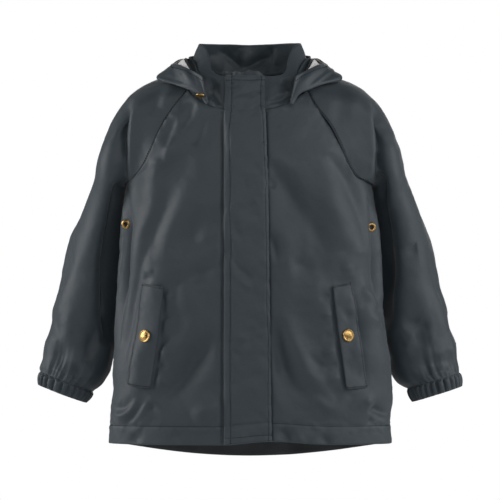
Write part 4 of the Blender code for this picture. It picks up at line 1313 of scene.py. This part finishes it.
@dataclass(frozen=True)
class ClothFinish:
    """A cloth's finish: its colours, roughness, sheen and grain, and how dark its inner face is
    painted as shade.
    """

    name: str
    light: tuple[float, float, float]
    dark: tuple[float, float, float]
    rough: tuple[float, float]
    sheen: float
    bump: float
    specular: float = 0.5
    # how dark the inner face is painted, as a share of the dark colour: painted shade
    inside: float = 0.5
    grain_size: float = 1500.0
    wrinkle_size: float = 120.0

    def material(self, grain: bpy.types.NodeTree) -> bpy.types.Material:
        """Makes the material.

        Args:
            grain: The node group of the cloth's grain and of its painted shade masks.

        Returns:
            The material.
        """
        material, tree, shader = new_material(self.name)
        group = tree.nodes.new("ShaderNodeGroup")
        group.node_tree = grain
        feed(tree, group, {"Grain size": self.grain_size, "Wrinkle size": self.wrinkle_size})
        height, mottle, seam, inside = group.outputs
        colour = mix_colours(tree, mottle, self.dark, self.light)
        # painted shade: the colour darkens within 1.5 mm of a seam, where the seam's groove lies in
        # shade
        seam = add(tree, "Math", {0: seam, 1: 0.6}, operation="MULTIPLY")
        colour = mix_colours(tree, seam, colour, (0.45 * part for part in self.dark))
        # painted shade: the inner face darkens to a share of the dark colour, as it lies in shade
        # inside the jacket
        colour = mix_colours(tree, inside, colour, (self.inside * part for part in self.dark))
        feed(tree, shader, {
            "Sheen Weight": self.sheen, "Sheen Roughness": 0.5,
            "Specular IOR Level": self.specular, "Base Color": colour,
            "Roughness": add(tree, "MapRange", {
                "Value": mottle, "From Min": 0.3, "From Max": 0.7, "To Min": self.rough[0],
                "To Max": self.rough[1]}, "Result"),
            "Normal": add(tree, "Bump", {"Strength": self.bump, "Distance": 0.001,
                                         "Height": height}, "Normal"),
        })
        return material


@dataclass(frozen=True)
class BrassFinish:
    """Aged brass: its bright and dull colours and its roughness."""

    name: str = "aged_brass_caps"
    bright: tuple[float, float, float] = (0.62, 0.40, 0.15)
    dull: tuple[float, float, float] = (0.22, 0.12, 0.04)
    rough: tuple[float, float] = (0.22, 0.5)

    def material(self) -> bpy.types.Material:
        """Makes the material.

        Returns:
            The material.
        """
        material, tree, shader = new_material(self.name)
        noise = add(tree, "TexNoise", {"Vector": add(tree, "TexCoord", out="Object"),
                                       "Scale": 260.0, "Detail": 5.0}, "Fac")
        spread = add(tree, "MapRange", {"Value": noise, "From Min": 0.3, "From Max": 0.6},
                     "Result")
        feed(tree, shader, {
            "Metallic": 1.0, "Base Color": mix_colours(tree, spread, self.dull, self.bright),
            "Roughness": add(tree, "MapRange", {"Value": spread, "To Min": self.rough[1],
                                                "To Max": self.rough[0]}, "Result"),
            "Normal": add(tree, "Bump", {"Strength": 0.25, "Distance": 0.0003,
                                         "Height": noise}, "Normal"),
        })
        return material


@dataclass
class Finishes:
    """Every material of the jacket, made once."""

    cloth: ClothFinish = ClothFinish("coated_satin_cloth", (0.033, 0.047, 0.058),
                                     (0.027, 0.039, 0.049), (0.54, 0.62), 0.12, 0.34)
    # the lining's inner face is painted down to its dark colour as shade
    lining: ClothFinish = ClothFinish("off_white_lining", (0.88, 0.86, 0.85),
                                      (0.82, 0.80, 0.79), (0.75, 0.9), 0.3, 0.3, inside=1.0)
    # real thread, coloured near-black as painted shade of the stitch holes and dips
    thread: ClothFinish = ClothFinish("sewing_thread", (0.013, 0.016, 0.020),
                                      (0.009, 0.011, 0.014), (0.8, 0.95), 0.0, 0.2,
                                      specular=0.15)
    brass: BrassFinish = BrassFinish()

    def __post_init__(self) -> None:
        """Makes the materials."""
        grain = cloth_grain_and_shade_group()
        self.made = {name: getattr(self, name).material(grain)
                     for name in ("cloth", "lining", "thread")}
        self.made["brass"] = self.brass.material()

    def dress(self, obj: bpy.types.Object, finish: str, node: str | None = None) -> None:
        """Args:
            obj: The object.
            finish: The material.
            node: The node that it replaces.
        """
        obj.data.materials.append(self.made[finish])
        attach(obj, "root")
        if node:
            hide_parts(node)
        LOG.info("%s: %d points in %s", obj.name, len(obj.data.vertices), finish)


# ---- pieces
@dataclass(frozen=True)
class Stitching:
    """Rows of stitches, each a short bead of thread sunk a little in the cloth; the thread's
    near-black colour is painted shade of the stitch holes.
    """

    pitch: float = 3.3
    length: float = 2.4
    radius: float = 0.40
    sides: int = 6
    rise: float = 0.2
    # a length over which the line's direction is read
    near: float = 0.6

    def beads(self, line: Array, normals: Array) -> tuple[Array, Array]:
        """Points and triangles of one row of stitches.

        Args:
            line: Points of the line that they follow.
            normals: The cloth's normals along it.

        Returns:
            Points and triangles.
        """
        run = run_along(line)
        middles = np.arange(self.pitch / 2, run[-1], self.pitch)

        def along_row(places: Array, values: Array) -> Array:
            """Values at some lengths along the line."""
            return np.stack([np.interp(places, run, values[:, k]) for k in range(3)], axis=-1)

        ahead = unit(along_row(middles + self.near, line) - along_row(middles - self.near, line))
        up = along_row(middles, normals)
        up = unit(up - ahead * (up * ahead).sum(axis=1, keepdims=True))
        across = np.cross(ahead, up)
        centre = along_row(middles, line) + up * self.rise
        angle = np.arange(self.sides) * FULL_TURN / self.sides
        spokes = (np.cos(angle)[:, None] * across[:, None] + np.sin(angle)[:, None] * up[:, None])
        ends = [(centre + ahead * way * self.length / 2 - up * self.radius)[:, None]
                for way in (-1.0, 1.0)]
        rings = [(centre + ahead * way * self.length / 4)[:, None] + spokes * self.radius
                 for way in (-1.0, 1.0)]
        points = np.concatenate([*ends, *rings], axis=1)
        faces = []
        for k in range(self.sides):
            low, low_next = 2 + k, 2 + (k + 1) % self.sides
            high, high_next = low + self.sides, low_next + self.sides
            faces += [(0, low, low_next), (1, high_next, high), (low, high, high_next),
                      (low, high_next, low_next)]
        first = np.arange(len(middles)) * points.shape[1]
        faces = (np.array(faces)[None] + first[:, None, None]).reshape(-1, 3)
        return points.reshape(-1, 3), faces

    def sew(self, name: str, rows: list[tuple[Array, Array]], finishes: Finishes) -> None:
        """Makes one piece of some rows of stitches.

        Args:
            name: The piece's name.
            rows: Lines and the cloth's normals along them.
            finishes: The materials.
        """
        points, faces, first = [], [], 0
        for row in rows:
            beads, triangles = self.beads(*row)
            points.append(beads)
            faces.append(triangles + first)
            first += len(beads)
        obj = mesh_object(name, np.concatenate(points), np.concatenate(faces))
        finishes.dress(obj, "thread")


@dataclass
class Body:
    """The fronts, back, raglan sleeves and collar, sewn along shared seams, and the cuffs."""

    finishes: Finishes
    form: TorsoForm = field(default_factory=TorsoForm)
    collar_form: CollarForm = field(default_factory=CollarForm)
    thickness: float = 1.3
    walls: dict[str, Wall] = field(default_factory=dict)
    sleeves: dict[Side, SleeveForm] = field(default_factory=dict)
    creases: Creases = field(default_factory=Creases)
    stitching: Stitching = Stitching()
    raglan_stitch: float = 2.2
    hem_stitch: float = 23.0
    # how wrinkled collar and cuffs are, how far folds drag the sleeves, and their gathers
    collar_wrinkle: float = 0.8
    cuff_wrinkle: float = 0.45
    sleeve_drag: float = 1.1
    sleeve_gathers: float = 1.6
    sunk_edge: float = 0.35
    fronts: tuple[str, str] = ("front_right", "front_left")

    def shape(self) -> None:
        """Cuts the pieces on their forms and creases them."""
        fronts, backs = ({side: self.form.panel(side, name) for side in Side}
                         for name in ("front", "back"))
        neck, grids, yoke = {}, {}, self.form.yoke_rows
        for side in Side:
            sleeve = self.sleeves[side] = SleeveForm(side, self.form)
            loop = sleeve.armhole(fronts[side], backs[side])
            neck[side] = loop[yoke:yoke + sleeve.neck_points + 2]
            grids["sleeve_" + side.word] = facing_out(
                side, sleeve.grid(fronts[side], backs[side]))
        back = np.concatenate([backs[Side.LEFT][:, :0:-1], backs[Side.RIGHT]], axis=1)
        base = np.concatenate([
            fronts[Side.LEFT][-1], neck[Side.LEFT][1:-1], back[-1],
            neck[Side.RIGHT][-2:0:-1], fronts[Side.RIGHT][-1][::-1]])
        grids |= {"front_left": fronts[Side.LEFT], "front_right": fronts[Side.RIGHT][:, ::-1],
                  "back": back, "collar": self.collar_form.grid(base)}
        sewn = {
            "front_left": (Border.END, Border.TOP), "front_right": (Border.START, Border.TOP),
            "back": (Border.START, Border.END, Border.TOP),
        }
        for name, grid in grids.items():
            ring = name.startswith("sleeve")
            self.walls[name] = Wall(grid, self.thickness, ring, sewn.get(name, (Border.BOTTOM,)),
                                    wrinkle=self.collar_wrinkle if name == "collar" else 1.0,
                                    drag=self.sleeve_drag if ring else Wall.drag,
                                    hem=self.hem_stitch if name in sewn else 0.0,
                                    gathers=self.sleeve_gathers if ring else 0.0)
        share_seams(list(self.walls.values()))
        folds = self.creases.body()
        for name, wall in self.walls.items():
            wall.crease(folds if name != "collar" else folds + self.creases.collar())

    def build(self) -> None:
        """Makes the pieces, their stitches and the cuffs."""
        for name, wall in self.walls.items():
            # every inner face but the collar's is darkened with painted shade
            wall.lay(self.finishes, name, "hung", inside_shade=0.0 if name == "collar" else 1.0)
        self.stitching.sew("thread_body", self.stitch_rows(), self.finishes)
        for side, sleeve in self.sleeves.items():
            grid = facing_out(side, CuffForm(side, sleeve).grid())
            cuff = Wall(grid, self.thickness, True, wrinkle=self.cuff_wrinkle)
            cuff.crease([])
            cuff.lay(self.finishes, "cuff_" + side.word, "gathered")

    def stitch_rows(self) -> list[tuple[Array, Array]]:
        """Lines of the stitches beside the raglan seams and above the hem.

        Returns:
            Each line's points and the cloth's normals along it.
        """
        rows = [self.walls[name].line_at(Border.BOTTOM, self.hem_stitch)
                for name in (*self.fronts, "back")]
        yoke = self.form.yoke_rows
        for side, sleeve in self.sleeves.items():
            seam = self.walls["sleeve_" + side.word].line_at(Border.BOTTOM, self.raglan_stitch)
            line, ways = (facing_out(side, part[None])[0] for part in seam)
            over = yoke + sleeve.neck_points + 1
            rows += [(line[:yoke], ways[:yoke]), (line[over:], ways[over:])]
        return rows

    def sink(self, places: list[Array], radius: float, depth: float) -> None:
        """Sinks the fronts' cloth under the eyelets.

        Args:
            places: The eyelets' places.
            radius: How wide it sinks.
            depth: How deep it sinks.
        """
        for wall in (self.walls[name] for name in self.fronts):
            for place in places:
                apart = np.linalg.norm(wall.grid - place, axis=-1)
                sunk = step_down((apart - radius) / self.sunk_edge, depth)
                wall.grid = wall.grid - wall.normals * sunk[..., None]

    def fronts_tree(self) -> BVHTree:
        """A tree of the fronts' faces, for what lies on them.

        Returns:
            The tree.
        """
        points, faces = [], []
        for grid in (self.walls[name].grid for name in self.fronts):
            faces += (grid_quads(*grid.shape[:2]) + len(points)).tolist()
            points += grid.reshape(-1, 3).tolist()
        return BVHTree.FromPolygons(points, faces)


def on_front(tree: BVHTree, x: float, z: float) -> tuple[Array, Array]:
    """Point and outward normal of the fronts, seen straight from the front."""
    place, normal, _, _ = tree.ray_cast(Vector((x, FAR_AHEAD, z)), Vector((0.0, 1.0, 0.0)))
    return np.array(place), np.array(-normal if normal.y > 0.0 else normal)


def turned_piece(node: str, profile: list[tuple[float, float]], place: Array,
                 normal: Array, hollow: bool, finishes: Finishes) -> None:
    """Makes a brass piece turned from a profile of radius and height, standing on the cloth.

    Args:
        node: The node that it stands for.
        profile: Radius and height of each ring.
        place: Middle of its foot.
        normal: The way it stands.
        hollow: Whether the profile is closed and the piece has a bore.
        finishes: The materials.
    """
    facets = 48
    spin = np.array(Vector(normal).to_track_quat("Z", "Y").to_matrix())
    angle = np.linspace(0.0, FULL_TURN, facets, endpoint=False)
    rings = [np.stack([radius * np.cos(angle), radius * np.sin(angle),
                       np.full(facets, height)], axis=-1) for radius, height in profile]
    points = np.concatenate(rings) @ spin.T + place
    numbers = np.arange(len(points)).reshape(len(profile), facets)
    upper = np.roll(numbers, -1, axis=0) if hollow else numbers[1:]
    lower = numbers if hollow else numbers[:-1]
    faces = np.stack([lower, np.roll(lower, -1, 1), np.roll(upper, -1, 1), upper], axis=-1)
    finishes.dress(mesh_object("brass_" + node, points, faces.reshape(-1, 4)), "brass", node)


@dataclass(frozen=True)
class Snap:
    """A snap's cap: a rolled rim round a shallow dish with a low dome."""

    radius: float = 8.0
    height: float = 2.6
    tip: float = 0.02
    lift: float = 0.2
    # shares of the radius and of the height
    profile: tuple = (
        (0.97, 0.0), (1.0, 0.18), (1.0, 0.5), (0.965, 0.78), (0.90, 0.88), (0.83, 0.84),
        (0.77, 0.68), (0.70, 0.66), (0.62, 0.80), (0.45, 0.92), (0.25, 0.98),
    )

    def fasten(self, node: str, place: Array, normal: Array, finishes: Finishes) -> None:
        """Makes the cap at a place on the cloth.

        Args:
            node: The node that it stands for.
            place: Middle of its foot.
            normal: The way it stands.
            finishes: The materials.
        """
        rings = [(self.radius * wide, self.height * high) for wide, high in self.profile]
        turned_piece(node, [(self.tip, 0.0), *rings, (self.tip, self.height)],
                     place + normal * self.lift, normal, False, finishes)


@dataclass
class Hood:
    """The folded-down hood: its shell, its off-white lining and its neck band."""

    finishes: Finishes
    body: Body
    form: HoodForm = field(default_factory=HoodForm)
    shell_cloth: float = 1.5
    shell_wrinkle: float = 0.7
    shell_drag: float = 0.9
    rim_stitch: float = 7.0
    stitching: Stitching = Stitching()
    lining_cloth: float = 0.7
    lining_gap: float = 0.35
    # shares of the columns left bare at each end, and of the rows that are lined
    lining_start: float = 4 / 32
    lining_rows: tuple[float, float] = (0.25 / 9, 2.4 / 9)
    face_lining_rows: tuple[float, float] = (0.80, 0.985)
    # how far the face edge's lining rises, from which station and over how many
    face_lining_rise: float = 2.8
    face_lining_far: tuple[float, float] = (4.6, 0.8)
    band_cloth: float = 1.2
    band_lift: float = 0.7
    band_turn: float = 50.0
    band_rows: tuple[float, float] = (0.7 / 3, 0.56)
    band_flare: float = 4.0
    band_flare_span: float = 95.0
    band_flare_power: float = 1.3
    # the snap's place as shares of the columns and rows, and how it tilts
    snap: Snap = Snap(6.0, 2.0)
    snap_at: tuple[float, float] = (1.35 / 32, 4.6 / 9)
    snap_tilt: tuple[float, float, float] = (0.35, 0.2, -0.95)

    def build(self) -> None:
        """Makes the shell, the lining, the band and the snap."""
        shell = Wall(self.form.grid(), self.shell_cloth, wrinkle=self.shell_wrinkle,
                     drag=self.shell_drag)
        shell.crease(self.body.creases.folds(Face.TOP, "hood"))
        shell.lay(self.finishes, "hood_shell", "folded", ("back", "sleeve_left"))
        shell.measure()
        self.stitching.sew("thread_hood", [shell.line_at(Border.TOP, self.rim_stitch)],
                           self.finishes)
        self.build_linings(shell)
        self.build_band()
        column = -1 - round(self.snap_at[0] * self.form.columns)
        row = round(self.snap_at[1] * self.form.rows)
        normal = unit(grid_normals(shell.grid)[row, column] + self.snap_tilt)
        self.snap.fasten("snap_hood", shell.grid[row, column], normal, self.finishes)

    def build_linings(self, shell: Wall) -> None:
        """Makes the lining inside the shell and the strip under its face edge.

        Args:
            shell: The folded shell.
        """
        grid = shell.grid - grid_normals(shell.grid) * (self.shell_cloth + self.lining_gap)
        first = round(self.lining_start * self.form.columns)
        last = len(self.form.stations) - 1
        for name, shares in (("hood_lining", self.lining_rows),
                             ("hood_face_lining", self.face_lining_rows)):
            low, high = (round(share * self.form.rows) for share in shares)
            face = name == "hood_face_lining"
            if face:
                station = last - np.abs(np.linspace(-last, last, grid.shape[1]))
                far = ramp(station, *self.face_lining_far)[:, None]
                grid[high] += unit(grid[high] - grid[high - 1]) * (self.face_lining_rise * far)
            lining = Wall(grid[low:high + 1, first:-first], self.lining_cloth)
            lining.lay(self.finishes, name, "folded", ("hood_shell",), "lining", not face)

    def build_band(self) -> None:
        """Makes the neck band, round the outside of the collar."""
        form, collar = self.body.collar_form, self.body.walls["collar"].grid
        turn = form.turn(collar[0])
        keep = np.nonzero(turn > self.band_turn)[0]
        low, high = (round(share * form.rows) for share in self.band_rows)
        grid = collar[low:high + 1, keep[0]:keep[-1] + 1]
        around = ramp(turn[keep], self.band_turn, self.band_flare_span)
        rise = np.linspace(0.0, 1.0, len(grid))[:, None] ** self.band_flare_power
        flare = self.band_flare * rise * np.sin(math.pi * around)[None, :] ** 2
        grid = grid + grid_normals(grid) * (self.band_lift + self.band_cloth + flare)[..., None]
        Wall(grid, self.band_cloth).lay(self.finishes, "hood_band", "laid", ("collar",))


@dataclass
class FrontFlap:
    """The storm flap over the zip, the zip's guard above it and the tape behind it."""

    finishes: Finishes
    body: Body
    right: float = -30.5
    # height and distance from the centre line
    left: tuple = ((-454.5, 28.0), (-121.0, 23.0), (-24.0, 20.0))
    cloth: float = 1.5
    wrinkle: float = 0.7
    lift: float = 3.0
    columns: int = 52
    # columns of each front and of each end of the collar that the flap covers
    near: int = 46
    channels: tuple = ((Border.START, 8.5), (Border.END, 5.0), (Border.TOP, 6.0),
                       (Border.BOTTOM, 8.0))
    stitching: Stitching = Stitching()
    tape_half: float = 13.0
    tape_columns: int = 8
    tape_depth: float = 2.6
    tape_cloth: float = 1.0
    guard_sides: tuple[float, float] = (-34.0, 19.0)
    guard_foot: float = 8.0
    guard_reach: float = 57.0
    guard_inset: float = 3.7
    # how far it stands above the collar at its sides and in the middle, and how round it is
    guard_rise: tuple[float, float, float] = (2.5, 4.5, 0.6)
    guard_lean: float = 2.2
    guard_cloth: float = 1.2
    guard_columns: int = 52
    guard_rows: int = 14

    def sampled(self, rows: Array, ends: list[tuple[float, float]], columns: int) -> Array:
        """Points of rows at even steps between two distances from the centre line.

        Args:
            rows: Rows of points.
            ends: The two distances for each row.
            columns: How many steps.

        Returns:
            The grid.
        """
        grid = np.zeros((len(rows), columns + 1, 3))
        for out, row, (low, high) in zip(grid, rows, ends):
            row = row[np.argsort(row[:, 0])]
            out[:, 0] = np.linspace(low, high, columns + 1)
            for axis in (1, 2):
                out[:, axis] = np.interp(out[:, 0], row[:, 0], row[:, axis])
        return grid

    def build(self) -> None:
        """Makes the flap, the tape and the guard."""
        right, left, collar = (self.body.walls[name].grid
                               for name in (*self.body.fronts, "collar"))
        panels = np.concatenate([right[:, -self.near:], left[:, :self.near]], axis=1)
        collar = np.concatenate([collar[1:, -self.near:], collar[1:, :self.near]], axis=1)
        rows = np.concatenate([panels, collar])
        ends = [(self.right, np.interp(row[:, 2].mean(), *zip(*self.left))) for row in rows]
        flap = Wall(self.sampled(rows, ends, self.columns), self.cloth, sewn=(Border.END,),
                    wrinkle=self.wrinkle, drag=0.0, channels=self.channels)
        flap.lift(self.lift)
        flap.crease(self.body.creases.folds(Face.FRONT, "flap"))
        flap.lay(self.finishes, "storm_flap", "laid", self.body.fronts)
        flap.measure()
        self.stitching.sew("thread_storm_flap", [flap.line_at(*line) for line in self.channels],
                           self.finishes)
        ends = [(-self.tape_half, self.tape_half)] * len(panels)
        grid = self.sampled(panels, ends, self.tape_columns)
        tape = Wall(grid - grid_normals(grid) * self.tape_depth, self.tape_cloth)
        tape.lay(self.finishes, "zip_tape", "laid", ("storm_flap",))
        guard = Wall(self.guard_grid(), self.guard_cloth, wrinkle=self.wrinkle)
        guard.crease([])
        guard.lay(self.finishes, "zip_guard", "folded", ("collar",))

    def guard_grid(self) -> Array:
        """Points of the crumpled guard over the flap's top edge.

        Returns:
            Rows from its foot up.
        """
        form = self.body.collar_form
        across = np.linspace(0.0, 1.0, self.guard_columns + 1)
        x = lerp(*self.guard_sides, across)
        low, high, roundness = self.guard_rise
        top = form.top[0][2] + low + high * np.sin(math.pi * across) ** roundness
        top += 1.3 * np.sin(9.0 * across + 1.0) + 0.9 * np.sin(23.0 * across)
        edge_y = form.axis_y - np.sqrt(self.guard_reach ** 2 - x * x)
        wave = np.sin(24.0 * across + 3.0 * np.sin(5.0 * across))
        return np.stack([
            np.stack([x, edge_y + self.guard_inset + (1.0 + wave) * share * self.guard_lean,
                      self.guard_foot + (top - self.guard_foot) * share], axis=-1)
            for share in np.linspace(0.0, 1.0, self.guard_rows + 1)])


@dataclass
class Pockets:
    """The slanted pocket flaps with their snaps."""

    finishes: Finishes
    tree: BVHTree
    cloth: float = 1.5
    wrinkle: float = 0.5
    lift: float = 2.8
    columns: int = 18
    rows: int = 74
    # low inner, low outer, high outer, high inner corner, each as x and z
    right: tuple = (-154, -379, -127, -383, -110, -253, -136, -249)
    left: tuple = (125, -384, 151, -382, 131, -248, 107.5, -252)
    right_snap: tuple = (-133.5, -315.5)
    left_snap: tuple = (127, -315.5)
    # how far the free edge stands off, and over which length
    free_lift: float = 1.6
    free_reach: float = 7.0
    stitch: float = 2.0
    stitching: Stitching = Stitching()
    snap: Snap = Snap()

    def build(self) -> None:
        """Makes both flaps and their snaps."""
        rows = []
        for side in Side:
            free, sewn = side.pick((Border.END, Border.START), (Border.START, Border.END))
            wall = Wall(self.grid(side), self.cloth, sewn=(Border.BOTTOM, Border.TOP, sewn),
                        wrinkle=self.wrinkle)
            wall.lift(self.lift)
            rise = self.free_lift * np.exp(-wall.gaps[free] / self.free_reach)
            wall.grid = wall.grid + wall.normals * rise[..., None]
            wall.crease([])
            wall.measure()
            rows += [wall.line_at(border, self.stitch) for border in wall.sewn]
            wall.lay(self.finishes, "pocket_flap_" + side.word, "laid", ("front_" + side.word,))
            flat, ways = (part.reshape(-1, 3) for part in (wall.grid, grid_normals(wall.grid)))
            spot = side.pick(self.right_snap, self.left_snap)
            nearest = np.argmin(np.hypot(flat[:, 0] - spot[0], flat[:, 2] - spot[1]))
            self.snap.fasten("snap_" + side.word, flat[nearest], ways[nearest], self.finishes)
        self.stitching.sew("thread_pocket_flaps", rows, self.finishes)

    def grid(self, side: Side) -> Array:
        """Points of a flap, on the front's surface.

        Args:
            side: The wearer's side.

        Returns:
            Rows from its low edge up.
        """
        corners = np.array(side.pick(self.right, self.left), float).reshape(4, 2)
        rows = []
        for rise in shares_of(self.rows):
            start, end = lerp(corners[0], corners[3], rise), lerp(corners[1], corners[2], rise)
            rows.append([on_front(self.tree, *lerp(start, end, share))[0]
                         for share in shares_of(self.columns)])
        return np.array(rows)


@dataclass
class Eyelets:
    """The brass vent eyelets under the arms."""

    finishes: Finishes
    tree: BVHTree
    right: tuple[float, float] = (-159.0, -172.0)
    left: tuple[float, float] = (158.0, -176.0)
    sunk_radius: float = 4.2
    sunk_depth: float = 3.6
    tilt: tuple[float, float, float] = (0.0, -1.0, 0.0)
    # radius and height, round the rim and back through the bore
    profile: tuple = (
        (2.7, -3.2), (4.2, -3.2), (4.2, -2.4), (3.2, -2.2), (3.2, 0.3), (5.9, 0.3), (5.9, 0.8),
        (5.4, 1.5), (4.1, 1.9), (3.2, 1.6), (2.7, 1.0),
    )

    def __post_init__(self) -> None:
        """Finds the eyelets' places on the fronts."""
        self.spots = {side: on_front(self.tree, *side.pick(self.right, self.left))
                      for side in Side}

    def sink(self, body: Body) -> None:
        """Sinks the cloth inside the eyelets, so that their bores are open."""
        body.sink([place for place, _ in self.spots.values()], self.sunk_radius, self.sunk_depth)

    def build(self) -> None:
        """Makes both eyelets."""
        for side, (place, normal) in self.spots.items():
            turned_piece("eyelet_" + side.word, self.profile, place,
                         unit(normal + self.tilt), True, self.finishes)


@dataclass
class Studio:
    """The pale floor, the soft lights and the camera."""

    camera_place: tuple[float, float, float] = (0.0013, -6.0, -0.2054)
    view_width: float = 0.65
    sensor_width: float = 36.0
    aim: tuple[float, float, float] = (0.0, 0.0, -0.2)
    # place, power and size of each square light
    lights: dict = field(default_factory=lambda: {
        "key_softbox": ((0.0, -1.9, 0.75), 10.5, 1.6),
        "left_front_softbox": ((1.4, -1.4, 0.6), 10.0, 1.2),
        "right_side_softbox": ((-1.8, -0.15, 0.3), 22.0, 1.2),
        "left_side_softbox": ((1.8, -0.15, 0.3), 13.0, 1.2),
        "back_softbox": ((0.3, 2.3, 0.5), 13.0, 1.6),
    })
    # what the camera sees of the world's light, and the little that lights the jacket
    world_seen: float = 0.98
    world_light: float = 0.02
    floor_height: float = -0.62
    floor_size: float = 8.0
    floor_rough: float = 0.9
    floor_colour: tuple[float, float, float, float] = (0.86, 0.86, 0.87, 1.0)

    def place(self, name: str, data: bpy.types.ID, where: tuple[float, float, float],
              turn: tuple | Any) -> bpy.types.Object:
        """Adds a light or a camera to the scene.

        Args:
            name: Its name.
            data: The light or the camera.
            where: Its place in metres.
            turn: Its rotation.

        Returns:
            The object.
        """
        obj = bpy.data.objects.new(name, data)
        obj.location, obj.rotation_euler = where, turn
        bpy.context.scene.collection.objects.link(obj)
        return obj

    def build(self) -> None:
        """Sets up the view, the lights, the world and the floor."""
        scene = bpy.context.scene
        camera = bpy.data.cameras.new("far_camera")
        camera.sensor_width = self.sensor_width
        camera.lens = self.sensor_width * -self.camera_place[1] / self.view_width
        scene.camera = self.place("far_camera", camera, self.camera_place,
                                  (math.pi / 2, 0.0, 0.0))
        scene.view_settings.view_transform = "Standard"
        for name, (where, power, size) in self.lights.items():
            light = bpy.data.lights.new(name, "AREA")
            light.energy, light.size, light.shape = power, size, "SQUARE"
            way = Vector(self.aim) - Vector(where)
            self.place(name, light, where, way.to_track_quat("-Z", "Y").to_euler())
        world = bpy.data.worlds.new("studio")
        world.use_nodes = True
        tree = world.node_tree
        seen = add(tree, "LightPath", out="Is Camera Ray")
        feed(tree, tree.nodes["Background"], {
            "Color": (1.0, 1.0, 1.0, 1.0),
            "Strength": add(tree, "Math", {0: seen, 1: self.world_seen, 2: self.world_light},
                            operation="MULTIPLY_ADD")})
        scene.world = world
        self.floor()

    def floor(self) -> None:
        """Lays a pale floor that looks as white as the backdrop."""
        bpy.ops.mesh.primitive_plane_add(size=self.floor_size,
                                         location=(0.0, 0.0, self.floor_height))
        floor = bpy.context.object
        floor.name = "pale_floor"
        material, tree, shader = new_material("pale_floor")
        feed(tree, shader, {"Base Color": self.floor_colour, "Roughness": self.floor_rough})
        seen = add(tree, "LightPath", out="Is Camera Ray")
        glow = add(tree, "Emission")
        surface = add(tree, "MixShader", {0: seen, 1: shader.outputs["BSDF"], 2: glow})
        feed(tree, tree.nodes["Material Output"], {"Surface": surface})
        floor.data.materials.append(material)


def main() -> None:
    """Builds the jacket and the studio round it."""
    logging.basicConfig(level=logging.INFO, format="%(name)s: %(message)s")
    finishes = Finishes()
    body = Body(finishes)
    body.shape()
    tree = body.fronts_tree()
    eyelets = Eyelets(finishes, tree)
    eyelets.sink(body)
    body.build()
    Hood(finishes, body).build()
    FrontFlap(finishes, body).build()
    Pockets(finishes, tree).build()
    eyelets.build()
    Studio().build()


if __name__ == "__main__":
    main()
